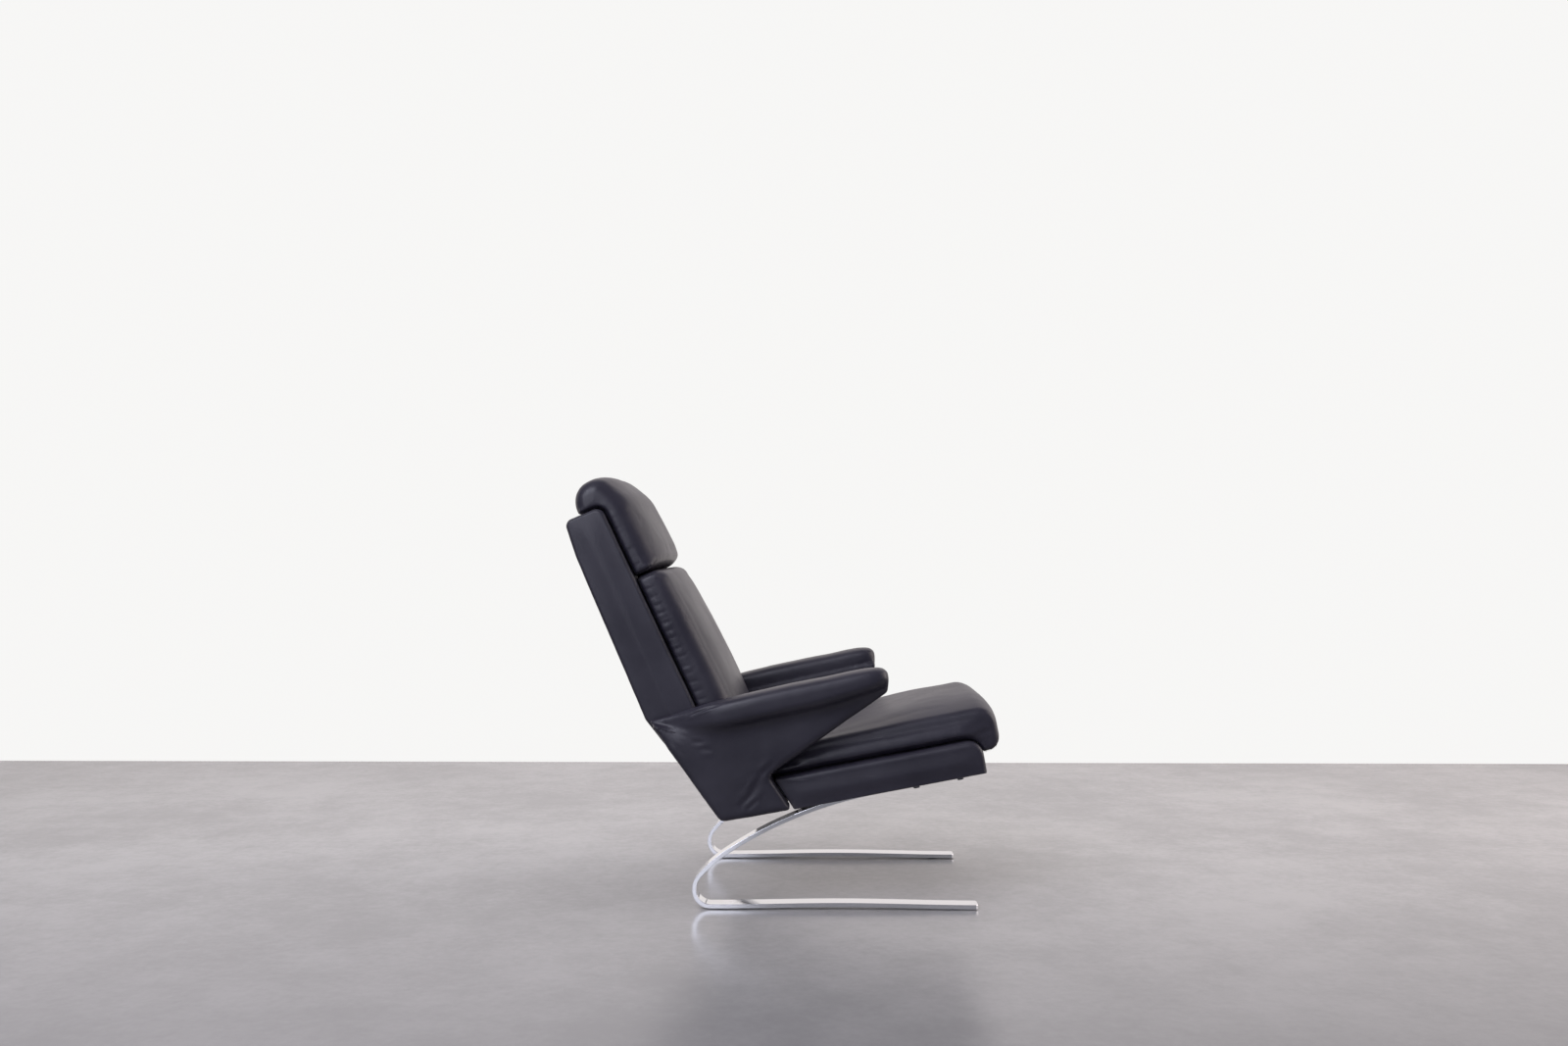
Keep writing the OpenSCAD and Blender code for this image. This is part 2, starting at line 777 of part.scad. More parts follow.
// Back cushion. Its foot rests on the seat cushion and its rear face on the shell.
function seat_top_at(n) = (seat_top_v + gap - box_h) / cos(recline) - n * tan(recline);
back_pad_taper = 4;
back_pad_foot_t = back_pad_t + back_pad_taper;
back_pad_r = 26;
back_brow_r = 34;
back_pad_corners = [
    [gap, seat_top_at(gap), pad_edge_r, 1],
    [back_pad_foot_t, seat_top_at(back_pad_foot_t), back_pad_r, 8],
    [back_pad_t - back_pad_taper, back_pad_top, back_brow_r, 1],
    [gap, back_pad_top, pad_edge_r, 8]
];
back_end_share = 0.55;
back_pad_hub = [back_pad_t / 2, back_pad_top / 2];

// The face swells between its edges, more towards its middle than towards its ends.
back_lift = function (p, t)
    let (h_share = (p[1] - seat_top_at(p[0])) / (back_pad_top - seat_top_at(p[0])),
        swell = mix(back_end_share, 1, sin(half_turn * max(0, min(1, h_share)))))
        [back_crown * max(0, p[2]) * swell * crown_share(t), 0];

module back_cushion_core() {
    color(foam)
        at_back()
            prism(flat_outline(back_pad_corners, cover_t + core_gap),
                cover_t + core_gap - cushion_half, cushion_half - cover_t - core_gap);
}

module back_cushion_cover() {
    color(leather)
        at_back()
            difference() {
                soft_form(back_pad_corners, cushion_half, cushion_edge_r, back_pad_hub, back_lift);
                prism(flat_outline(back_pad_corners, cover_t), cover_t - cushion_half,
                    cushion_half - cover_t);
                zip_slot(back_zip_h, gap);
            }
}

module back_cushion_zip() {
    color(steel)
        at_back()
            zip(back_zip_h);
}

// Head cushion. Its front slab hangs in front of the back, and its top hooks over it.
head_low = back_pad_top + head_gap;
head_seat_h = back_h + gap;
head_top_h = back_h + head_top_t;
head_low_r = 22;
head_slope_r = 90;
head_brow_r = 30;
head_rear_r = 50;
head_rear_low_r = 8;
head_rear_rise = shell_top_rise;
head_brow_run = 34;
head_brow_drop = 72;
head_lean = 6;
head_corners = [
    [gap, head_low, pad_edge_r, 1],
    [head_pad_t, head_low, head_low_r, 4],
    [head_pad_t - head_lean, head_top_h - head_brow_drop, head_slope_r, 1],
    [head_pad_t - head_lean - head_brow_run, head_top_h, head_brow_r, 1],
    [-head_reach, head_top_h, head_rear_r, 0],
    [-head_reach, head_seat_h + head_rear_rise, head_rear_low_r, 1],
    [gap, head_seat_h, shell_brow_r + gap, 3]
];
head_hub = [(head_pad_t - head_brow_run) / 2, head_seat_h + head_top_t / 2];
head_lift = function (p, t)
    [head_crown * max(0, p[2]) * crown_share(t), head_top_crown * max(0, p[3]) * crown_share(t)];

module head_cushion_core() {
    color(foam)
        at_back()
            prism(flat_outline(head_corners, cover_t + core_gap),
                cover_t + core_gap - cushion_half, cushion_half - cover_t - core_gap);
}

module head_cushion_cover() {
    color(leather)
        at_back()
            difference() {
                soft_form(head_corners, cushion_half, cushion_edge_r, head_hub, head_lift);
                prism(flat_outline(head_corners, cover_t), cover_t - cushion_half,
                    cushion_half - cover_t);
                zip_slot(head_zip_h, gap);
            }
}

module head_cushion_zip() {
    color(steel)
        at_back()
            zip(head_zip_h);
}

// Side units. A plywood plate stands in a pocket inside the panel, and its arm
// board rises into the arm pad.
plate_inset = 16;
plate_knee_inset = 8;
plate_tail_inset = 21;
plate_heel_inset = 24;
plate_tip_inset = 60;
panel_skin = 5;
plate_inner = clear_half + panel_skin + gap;
plate_outer = plate_inner + ply_t;
plate_top_v = arm_under_rear_v - plate_inset;
board_u0 = gap - back_setback + plate_heel_inset;
board_u1 = arm_reach - plate_tip_inset;
board_t = 16;
board_rise = 8;
board_v = arm_under_v + board_rise;
board_out_share = 0.62;
board_out = (chair_w / 2 - plate_outer) * board_out_share;

function front_edge_v(u) = let (tip = corner(panel_corners, 2))
    mix(knee[1], tip[1], (u - knee[0]) / (tip[0] - knee[0]));
function rear_edge_u(v) =
    mix(low_rear[0], tail_u, (v - low_rear[1]) / (tail_v - low_rear[1]));
plate_corners = [
    [low_front[0] - plate_inset, low_front[1] + plate_inset],
    [knee[0] - plate_inset, knee[1] + plate_knee_inset],
    [board_u1, front_edge_v(board_u1) + plate_inset],
    [board_u1, board_v + board_t / 2],
    [board_u0, board_v + board_t / 2],
    [board_u0, plate_top_v],
    [rear_edge_u(plate_top_v) + 2 * plate_inset, plate_top_v],
    [rear_edge_u(plate_top_v - plate_inset) + plate_tail_inset, plate_top_v - plate_inset],
    [low_rear[0] + plate_heel_inset, low_rear[1] + plate_inset]
];

// The plate and its board, grown by a clearance for the pocket that takes them. Leather
// covers the plate's inner face.
module plate_shape(grow) {
    inner = plate_inner - grow;
    at_seat() {
        prism(mitred(plate_corners, -grow), inner, plate_outer + grow);
        box([board_u0 - grow, inner, board_v - grow],
            [board_u1 + grow, plate_outer + board_out + grow, board_v + board_t + grow]);
    }
}

side_bolt_shares = [[0.72, 0.72], [0.6, 0.45], [0.41, 0.17]];
side_bolt_places = [for (s = side_bolt_shares) [tail_u * s[0], tail_v * s[1]]];

module side_bolt_holes() {
    at_seat()
        both_sides()
            for (b = side_bolt_places)
                cross_post(b[0], b[1], rail_in - overrun, plate_outer - 3 * gap, bolt_d + 2 * gap);
}

module side_unit_bolts() {
    color(steel)
        at_seat()
            both_sides()
                for (b = side_bolt_places) {
                    cross_post(b[0], b[1], rail_in - bolt_head_h, rail_in, bolt_head_d);
                    cross_post(b[0], b[1], rail_in - gap, plate_outer - bolt_head_h, bolt_d);
                }
}

module arm_frame() {
    color(timber)
        difference() {
            plate_shape(0);
            side_bolt_holes();
        }
}

module side_panel() {
    color(leather)
        difference() {
            at_seat()
                translate([0, (clear_half + panel_outer) / 2, 0])
                    one_sided_form(panel_corners, panel_t / 2, panel_edge_r, panel_hub);
            plate_shape(gap);
            side_bolt_holes();
        }
}

// Arm pad: rounded sections along the arm, from a thin tail at the kink of the back to
// the round tip. Each row of shares is [place along, underside, top, outer face, inner face].
arm_half_w = (chair_w / 2 - clear_half) / 2;
pad_shares = [
    [0.00, 0.62, 0.70, 0.34, 0.20],
    [0.10, 0.00, 0.80, 0.52, 0.20],
    [0.19, 0.00, 0.93, 0.74, 0.20],
    [0.28, 0.00, 1.00, 0.90, 0.04],
    [0.42, 0.00, 1.06, 1.00, 0.02],
    [0.60, 0.00, 1.06, 1.00, 0.02],
    [0.78, 0.00, 1.02, 1.00, 0.02],
    [0.90, 0.00, 1.00, 0.99, 0.02],
    [0.955, 0.00, 0.93, 0.94, 0.04],
    [0.985, 0.03, 0.80, 0.84, 0.12],
    [1.00, 0.12, 0.60, 0.68, 0.26]
];
pad_sides = 20;
pad_power_share = 0.42;
function swell_to(a) = sign(a) * pow(abs(a), pad_power_share);

module arm_pad() {
    length = arm_reach - tail_u;
    width = chair_w / 2 - clear_half;
    sections = [for (s = pad_shares)
        let (u = tail_u + length * s[0],
            base_v = arm_under_rear_v + (arm_under_v - arm_under_rear_v) * s[0] + gap,
            v0 = base_v + arm_pad_h * s[1],
            v1 = base_v + arm_pad_h * s[2],
            y0 = clear_half + width * s[4],
            y1 = clear_half + width * s[3])
            [u, (y0 + y1) / 2, (v0 + v1) / 2, (y1 - y0) / 2, (v1 - v0) / 2]];
    rows = [for (s = sections)
        [for (k = [0 : pad_sides - 1])
            let (a = 2 * half_turn * k / pad_sides)
                [s[0], s[1] + s[3] * swell_to(cos(a)), s[2] + s[4] * swell_to(sin(a))]]];
    first = sections[0];
    final = sections[len(sections) - 1];
    color(leather)
        difference() {
            at_seat()
                loft(rows, [first[0], first[1], first[2]], [final[0], final[1], final[2]]);
            plate_shape(gap);
            at_seat()
                box([tail_u - overrun, clear_half - overrun, arm_under_v - arm_pad_h],
                    [-back_setback, shell_half + gap, back_h]);
        }
}

module right_arm_frame() { mirror([0, 1, 0]) arm_frame(); }
module left_arm_frame() { arm_frame(); }
module right_side_panel() { mirror([0, 1, 0]) side_panel(); }
module left_side_panel() { side_panel(); }
module right_arm_pad() { mirror([0, 1, 0]) arm_pad(); }
module left_arm_pad() { arm_pad(); }

// Flat steel brackets between the seat frame and the cheeks, with their bolts.
module frame_brackets() {
    color(steel)
        at_seat()
            both_sides()
                difference() {
                    box([bracket_rear_u, bracket_y0, bracket_v],
                        [bracket_front_u - gap, bracket_y0 + bracket_t, bracket_v + bracket_h]);
                    for (u = bracket_bolt_us)
                        cross_post(u, bracket_v + bracket_h / 2, bracket_y0 - overrun,
                            bracket_y0 + overrun, bolt_hole_d);
                }
}

module bracket_bolts() {
    color(steel)
        at_seat()
            both_sides()
                for (u = bracket_bolt_us) {
                    cross_post(u, bracket_v + bracket_h / 2, bracket_y0 - bolt_head_h, bracket_y0,
                        bolt_head_d);
                    cross_post(u, bracket_v + bracket_h / 2, bracket_y0 - gap,
                        cheek_out - gap, bolt_d);
                }
}

runner_foot(-1);  // right_runner_foot
runner_foot(1);  // left_runner_foot
runner_bend(-1);  // right_runner_bend
runner_bend(1);  // left_runner_bend
foot_glides();
runner_arm(-1);  // right_runner_arm
runner_arm(1);  // left_runner_arm
runner_bolts();
runner_nuts();
seat_frame();
seat_webbing();
seat_box();
seat_bottom_cloth();
seat_cushion_core();
seat_cushion_cover();
seat_cushion_zip();
back_frame();
back_webbing();
back_shell();
back_cushion_core();
back_cushion_cover();
back_cushion_zip();
head_cushion_core();
head_cushion_cover();
head_cushion_zip();
right_arm_frame();
left_arm_frame();
right_side_panel();
left_side_panel();
right_arm_pad();
left_arm_pad();
frame_brackets();
bracket_bolts();
side_unit_bolts();
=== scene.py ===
"""Dresses the cantilever lounge chair: chromed runners, leather seat box, back, arms and cushions."""

import json
import logging
import math
from dataclasses import dataclass, field
from enum import Enum
from typing import Callable, Optional, Sequence

import bmesh
import bpy
import numpy as np
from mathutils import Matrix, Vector, noise
from mathutils.bvhtree import BVHTree
from mathutils.kdtree import KDTree


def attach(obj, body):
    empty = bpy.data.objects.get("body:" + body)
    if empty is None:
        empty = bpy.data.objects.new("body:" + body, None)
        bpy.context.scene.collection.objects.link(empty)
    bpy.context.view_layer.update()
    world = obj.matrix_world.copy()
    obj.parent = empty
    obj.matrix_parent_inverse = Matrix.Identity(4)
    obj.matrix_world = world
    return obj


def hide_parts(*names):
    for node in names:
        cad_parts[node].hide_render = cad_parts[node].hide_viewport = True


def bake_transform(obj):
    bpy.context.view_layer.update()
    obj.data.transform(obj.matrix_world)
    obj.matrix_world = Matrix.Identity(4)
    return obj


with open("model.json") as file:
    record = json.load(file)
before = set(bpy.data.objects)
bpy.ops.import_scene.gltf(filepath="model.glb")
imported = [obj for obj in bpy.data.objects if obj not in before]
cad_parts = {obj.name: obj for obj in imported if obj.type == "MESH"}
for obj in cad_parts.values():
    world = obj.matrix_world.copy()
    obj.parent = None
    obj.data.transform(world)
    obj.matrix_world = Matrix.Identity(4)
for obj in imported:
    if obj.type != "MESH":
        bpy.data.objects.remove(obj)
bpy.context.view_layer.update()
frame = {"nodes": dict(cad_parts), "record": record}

log = logging.getLogger("lounge_chair")

Array = np.ndarray
Place = tuple[float, float, float]
Object = bpy.types.Object
Mesh = bpy.types.Mesh
Material = bpy.types.Material
Tree = bpy.types.NodeTree
Socket = bpy.types.NodeSocket


class Side(Enum):
    """The two sides of the chair, as seen by the sitter."""

    RIGHT = -1
    LEFT = 1

    @property
    def word(self) -> str:
        """The side's name as the nodes write it."""
        return self.name.lower()


class Body(Enum):
    """The bodies that pieces ride on."""

    BASE = "base"
    SEAT = "seat"


class Slot(Enum):
    """The record's material slots."""

    CHROME = "runner_chrome"
    LEATHER = "leather"
    FOAM = "foam"
    TIMBER = "timber"
    WEBBING = "webbing"
    LINING = "lining"
    ZIP = "zip"
    HARDWARE = "hardware"
    GLIDE = "glide"


# Plane geometry. Points are rows of [x, z], and angles are degrees turning upwards from forwards.
def mm(rows: Sequence[Sequence[float]]) -> Array:
    """Rows of millimetres in metres."""
    return np.array(rows, float) / 1000


def polar(r: float, degrees: float) -> Array:
    """A point at a distance and a direction from the origin."""
    a = math.radians(degrees)
    return np.array([r * math.cos(a), r * math.sin(a)])


def ease(share: Array) -> Array:
    """A smooth step from 0 to 1."""
    s = np.clip(share, 0.0, 1.0)
    return s * s * (3.0 - 2.0 * s)


@dataclass(frozen=True)
class Axes:
    """Axes that lean in the chair's side view.

    Args:
        x, z: their origin in the row frame, in metres
        degrees: how far they are turned upwards
    """

    x: float
    z: float
    degrees: float

    def matrix(self) -> Array:
        """The turn that takes own points to the row frame."""
        a = math.radians(self.degrees)
        return np.array([[math.cos(a), math.sin(a)], [-math.sin(a), math.cos(a)]])

    def out(self, own: Array) -> Array:
        """Own [x, z] points in the row frame."""
        return np.asarray(own, float) @ self.matrix() + np.array([self.x, self.z])

    def own(self, row: Array) -> Array:
        """The row frame's [x, z] points, or the x and z of its [x, y, z] points, in own axes."""
        row = np.asarray(row, float)
        flat = row[:, [0, 2]] if row.shape[-1] == 3 else row
        return (flat - np.array([self.x, self.z])) @ self.matrix().T

    def across(self, own: Array, y: object) -> Array:
        """Own [x, z] points as the row frame's [x, y, z] points."""
        row = self.out(own)
        return np.column_stack([row[:, 0], np.broadcast_to(y, len(row)), row[:, 1]])


# Heights and places in the seat's axes, in millimetres.
BOX_TOP, SEAT_TOP, BACK_FOOT = 80.0, 146.3, -136.0
# How far neighbouring pieces stand apart, in millimetres, and how far the back leans from the seat.
GAP, RECLINE = 0.3, 14.6

SEAT = Axes(0.0260673, 0.232281, 10.8)
BACK = Axes(*map(float, SEAT.out(mm([BACK_FOOT, BOX_TOP]))), 25.4)

# The runners' bars: how far they stand from the middle, and how wide they are.
BAR_Y, BAR_W = 0.270, 0.045


def outline(corners: Array, inset: float, spacing: float, steps: int = 8) -> Array:
    """Points round an outline, counter-clockwise seen from the right.

    Args:
        corners: the outline's corners as rows of [x, z, radius]
        inset: how far the outline is drawn in
        spacing: rough distance between points on the straight stretches
        steps: how many steps round each corner

    Returns:
        rows of [x, z, outward x, outward z]; their number doesn't depend on the inset
    """
    n = len(corners)
    places = corners[:, :2]

    def arc(i: int, by: float) -> Array:
        """The points round a corner of the outline that is drawn in by a distance."""
        before, at, after = places[i - 1], places[i], places[(i + 1) % n]
        d1 = (at - before) / np.linalg.norm(at - before)
        d2 = (after - at) / np.linalg.norm(after - at)
        side = -1.0 if d1[0] * d2[1] - d1[1] * d2[0] < 0 else 1.0
        angle = math.acos(max(-1.0, min(1.0, float(d1 @ d2))))
        n1, n2 = np.array([d1[1], -d1[0]]), np.array([d2[1], -d2[0]])
        moved = at - (n1 + n2) * by / (1 + n1 @ n2)
        r = max(corners[i, 2] - side * by, 0.0004)
        centre = moved - d1 * r * math.tan(angle / 2) - n1 * r * side
        rows = []
        for k in range(steps + 1):
            a = side * angle * k / steps
            out = np.array([n1[0] * math.cos(a) - n1[1] * math.sin(a),
                            n1[0] * math.sin(a) + n1[1] * math.cos(a)])
            rows.append(np.concatenate([centre + out * r * side, out]))
        return np.array(rows)

    rest = [arc(i, 0.0) for i in range(n)]
    arcs = [arc(i, inset) for i in range(n)]
    rows: list[Array] = []
    for i in range(n):
        rows.extend(arcs[i])
        length = np.linalg.norm(rest[(i + 1) % n][0][:2] - rest[i][-1][:2])
        cuts = max(0, int(round(length / spacing)) - 1)
        shares = [k / (cuts + 1) for k in range(1, cuts + 1)]
        rows.extend(arcs[i][-1] * (1 - share) + arcs[(i + 1) % n][0] * share for share in shares)
    return np.array(rows)


# Meshes.
def new_object(name: str, mesh: Mesh) -> Object:
    """An object for a mesh, linked into the scene."""
    obj = bpy.data.objects.new(name, mesh)
    bpy.context.scene.collection.objects.link(obj)
    return obj


def wire_object(name: str, points: Sequence[Place], edges: Sequence[tuple[int, int]] = ()) -> Object:
    """An object of bare points and edges."""
    mesh = bpy.data.meshes.new(name)
    mesh.from_pydata([tuple(p) for p in points], edges, [])
    return new_object(name, mesh)


def mesh_object(name: str, points: Array, faces: Sequence[Sequence[int]]) -> Object:
    """An object from points and faces, with its normals made to point outwards."""
    mesh = bpy.data.meshes.new(name)
    mesh.from_pydata([tuple(p) for p in points], [], faces)
    bm = bmesh.new()
    bm.from_mesh(mesh)
    bmesh.ops.remove_doubles(bm, verts=bm.verts, dist=1e-6)
    bmesh.ops.recalc_face_normals(bm, faces=bm.faces)
    bm.to_mesh(mesh)
    bm.free()
    return new_object(name, mesh)


def remove(obj: Object) -> None:
    """Remove an object and its mesh."""
    mesh = obj.data
    bpy.data.objects.remove(obj)
    bpy.data.meshes.remove(mesh)


def tube_faces(rings: int, n: int) -> list[list[int]]:
    """The faces between rings of n points each."""
    return [[j * n + i, j * n + (i + 1) % n, (j + 1) * n + (i + 1) % n, (j + 1) * n + i]
            for j in range(rings - 1) for i in range(n)]


def closed_tube(rings: Sequence[Array], ends: Sequence[Array]) -> tuple[Array, list[list[int]]]:
    """Points and faces of a tube that closes in a fan at both ends.

    Args:
        rings: its rings of points
        ends: the middle of each fan

    Returns:
        the points and the faces
    """
    count, n = len(rings), len(rings[0])
    last = (count - 1) * n
    faces = tube_faces(count, n)
    faces += [[(i + 1) % n, i, count * n] for i in range(n)]
    faces += [[last + i, last + (i + 1) % n, count * n + 1] for i in range(n)]
    return np.concatenate([*rings, np.array(ends)]), faces


def points_of(mesh: Mesh) -> Array:
    """The places of a mesh's points."""
    flat = np.empty(len(mesh.vertices) * 3, np.float32)
    mesh.vertices.foreach_get("co", flat)
    return flat.reshape(-1, 3).astype(float)


def normals_of(mesh: Mesh) -> Array:
    """The outward directions at a mesh's points."""
    flat = np.empty(len(mesh.vertices) * 3, np.float32)
    mesh.vertex_normals.foreach_get("vector", flat)
    return flat.reshape(-1, 3).astype(float)


def set_points(mesh: Mesh, points: Array) -> None:
    """Move a mesh's points."""
    mesh.vertices.foreach_set("co", points.astype(np.float32).ravel())
    mesh.update()


def edges_of(mesh: Mesh) -> tuple[Array, Array, Array]:
    """Both ends of each edge, and how many edges each point has."""
    pairs = np.empty(len(mesh.edges) * 2, np.int64)
    mesh.edges.foreach_get("vertices", pairs)
    a, b = pairs.reshape(-1, 2).T
    return a, b, np.maximum(np.bincount(pairs, minlength=len(mesh.vertices)), 1)


def set_share(mesh: Mesh, name: str, values: Array) -> None:
    """Store a number for each point of a mesh, for a material to read."""
    layer = mesh.attributes.get(name) or mesh.attributes.new(name, "FLOAT", "POINT")
    layer.data.foreach_set("value", values.astype(np.float32))


def settle(obj: Object) -> Object:
    """Turn an object's modifiers into plain mesh."""
    graph = bpy.context.evaluated_depsgraph_get()
    mesh = bpy.data.meshes.new_from_object(obj.evaluated_get(graph))
    old = obj.data
    obj.modifiers.clear()
    obj.data = mesh
    if old.users == 0:
        bpy.data.meshes.remove(old)
    return obj


def modified(obj: Object, kind: str, **settings: object) -> Object:
    """Run one modifier on an object and keep the result as plain mesh."""
    step = obj.modifiers.new(kind.capitalize(), kind)
    for key, value in settings.items():
        setattr(step, key, value)
    return settle(obj)


def smooth_faces(obj: Object, sharp_over: Optional[float] = None) -> None:
    """Shade an object smooth, with sharp edges where faces meet at more than an angle in degrees."""
    obj.data.polygons.foreach_set("use_smooth", [True] * len(obj.data.polygons))
    if sharp_over is not None:
        obj.data.set_sharp_from_angle(angle=math.radians(sharp_over))
    obj.data.update()


def surface_of(obj: Object) -> BVHTree:
    """An object's surface, for finding the nearest place on it."""
    return BVHTree.FromPolygons([tuple(p) for p in points_of(obj.data)],
                                [tuple(f.vertices) for f in obj.data.polygons])


def search_tree(points: Array) -> KDTree:
    """Points, for finding the nearest of them."""
    tree = KDTree(len(points))
    for k, p in enumerate(points):
        tree.insert(Vector(p), k)
    tree.balance()
    return tree


def relax(obj: Object, rounds: int, where: Optional[Array] = None) -> None:
    """Smooth an object by moving its points towards their neighbours.

    Args:
        obj: the object
        rounds: how many times
        where: share of the effect for each point
    """
    points = points_of(obj.data)
    a, b, count = edges_of(obj.data)
    share = 0.5 if where is None else 0.5 * where[:, None]
    for _ in range(rounds):
        total = np.column_stack([
            np.bincount(a, points[b, k], len(points)) + np.bincount(b, points[a, k], len(points))
            for k in range(3)])
        points = points + (total / count[:, None] - points) * share
    set_points(obj.data, points)


def remesh(obj: Object, voxel: float, loose: Optional[Callable[[Array], Array]] = None,
           rounds: int = 0) -> None:
    """Give an object an even mesh that lies on its old surface.

    Args:
        obj: a closed mesh
        voxel: size of the new faces, in metres
        loose: how far, from 0 to 1, points may leave the old surface to be smoothed
        rounds: how often those are smoothed
    """
    old = surface_of(obj)
    relax(modified(obj, "REMESH", mode="VOXEL", voxel_size=voxel), 4)
    exact = np.array([old.find_nearest(Vector(p))[0] for p in points_of(obj.data)])
    set_points(obj.data, exact)
    if loose is not None:
        relax(obj, rounds, loose(exact))
    relax(obj, 1)


def subdivide(obj: Object) -> None:
    """Split each face in four and round the result."""
    modified(obj, "SUBSURF", levels=1, render_levels=1)


def cut(obj: Object, *tools: Object) -> None:
    """Cut tools out of an object and remove them."""
    for tool in tools:
        step = obj.modifiers.new("Cut", "BOOLEAN")
        step.operation = "DIFFERENCE"
        step.solver = "EXACT"
        step.object = tool
    settle(obj)
    for tool in tools:
        remove(tool)


def join(obj: Object, other: Object) -> None:
    """Add another object's mesh to an object and remove the other."""
    bm = bmesh.new()
    bm.from_mesh(obj.data)
    bm.from_mesh(other.data)
    bm.to_mesh(obj.data)
    bm.free()
    remove(other)


def prism(name: str, points: Array, axes: Axes, y0: float, y1: float) -> Object:
    """A prism of an [x, z] outline in given axes between two places across the chair."""
    n = len(points)
    faces = tube_faces(2, n) + [list(range(n)), list(range(2 * n - 1, n - 1, -1))]
    return mesh_object(name, np.concatenate([axes.across(points, y) for y in (y0, y1)]), faces)


def block(name: str, axes: Axes, low: Place, high: Place) -> Object:
    """A box in given axes, from [x, y, z] to [x, y, z]."""
    points = np.array([[low[0], low[2]], [high[0], low[2]], [high[0], high[2]], [low[0], high[2]]])
    return prism(name, points, axes, low[1], high[1])


@dataclass(frozen=True)
class Form:
    """A soft form: an outline carried across the chair, with rounded side edges and a crown.

    Args:
        axes: the axes that the outline is drawn in
        corners: the outline, as rows of [x, z, radius]
        half: half the form's width, or for a one-sided form its outer place
        edge_r: radius of the side edges
        hub: a place that sees the whole outline
        lift: moves outline points, given the points and their place across the form
        inner: for a one-sided form, the place of its flat inner face
        held: how far, from 0 to 1, an outline point is pressed on a neighbour
        held_share: share of the side edges' radius that is left where it is pressed
        side_swell: how far the side faces of a two-sided form swell outwards
        swell_reach: how far from their edges they reach that
        swell_where: for a form between other pieces, where its sides may swell
    """

    axes: Axes
    corners: Array
    half: float
    edge_r: float
    hub: tuple[float, float]
    lift: Optional[Callable[[Array, float], Array]] = None
    inner: Optional[float] = None
    held: Optional[Callable[[Array], Array]] = None
    held_share: float = 0.25
    side_swell: float = 0.0
    swell_reach: float = 0.035
    swell_where: Optional[Callable[[Array], Array]] = None

    def ring(self, y: float, inset: float, spacing: float) -> Array:
        """The form's outline at a place across the chair, as [x, y, z] points."""
        rows = outline(self.corners, inset, spacing)
        if self.held is not None and inset:
            share = self.held(outline(self.corners, 0.0, spacing))[:, None]
            held = outline(self.corners, inset * self.held_share, spacing)
            rows = rows * (1 - share) + held * share
        own = rows[:, :2].copy()
        if self.lift is not None:
            own += self.lift(rows, max(-1.0, min(1.0, y / self.half)))
        return self.axes.across(own, y)

    def stations(self, spacing: float, edge_steps: int = 8) -> list[tuple[float, float]]:
        """Places across the form and how far the outline is drawn in there."""
        turns = [math.radians(90 * k / edge_steps) for k in range(1, edge_steps + 1)]
        rim = [(self.half - self.edge_r * (1 - math.sin(a)), self.edge_r * (1 - math.cos(a)))
               for a in turns]
        outer = self.half - self.edge_r
        first = -outer if self.inner is None else self.inner
        count = max(2, int(round((outer - first) / spacing)))
        flat = [(first + (outer - first) * k / count, 0.0) for k in range(count + 1)]
        other_rim = [(-y, inset) for y, inset in reversed(rim)] if self.inner is None else []
        return other_rim + flat + rim

    def build(self, name: str, spacing: float = 0.008, cap_rings: int = 6) -> Object:
        """The form as a closed mesh.

        Args:
            name: the object's name
            spacing: rough size of its faces
            cap_rings: rings of faces on each side face

        Returns:
            the object
        """
        rings = [self.ring(y, inset, spacing) for y, inset in self.stations(spacing)]
        hub = self.axes.out(np.array(self.hub))
        rims = rings[0], rings[-1]
        ends = [np.array([hub[0], rim[0, 1], hub[1]]) for rim in rims]
        first, last = ([rim + (end - rim) * k / (cap_rings + 1) for k in range(1, cap_rings + 1)]
                       for rim, end in zip(rims, ends))
        points, faces = closed_tube(first[::-1] + rings + last, ends)
        if self.side_swell:
            self.swell_sides(points, rims)
        return mesh_object(name, points, faces)

    def swell_sides(self, points: Array, rims: Sequence[Array]) -> None:
        """Move the points of the side faces outwards, by their distance from the face's edge.

        Args:
            points: the form's points, which are changed
            rims: the edges of its side faces
        """
        for rim in rims:
            tree = search_tree(rim)
            on_face = np.nonzero(np.abs(points[:, 1] - rim[0, 1]) < 1e-6)[0]
            far = np.array([tree.find(Vector(points[k]))[2] for k in on_face])
            rise = self.side_swell * ease(far / self.swell_reach)
            if self.swell_where is not None:
                rise = rise * self.swell_where(self.axes.own(points[on_face]))
            points[on_face, 1] += np.sign(rim[0, 1]) * rise

    def rim_seams(self) -> list[Array]:
        """The lines where the side faces are sewn in; on a held form, their held stretches."""
        place = self.half - self.edge_r * (0.29 if self.held is None else 0.1)
        lines = [self.ring(y, self.edge_r * 0.29, 0.004) for y in (place, -place)]
        if self.held is None:
            return lines
        kept = self.held(outline(self.corners, 0.0, 0.004)) > 0.6
        order = np.roll(np.arange(len(kept)), -int(np.argmin(kept)))
        return [line[order[kept[order]]] for line in lines]


# Leather work: seams, gathers, folds and the slight unevenness of hide over foam.
NO_SEAM = 0.05  # the distance to a seam that stands for none near, in metres


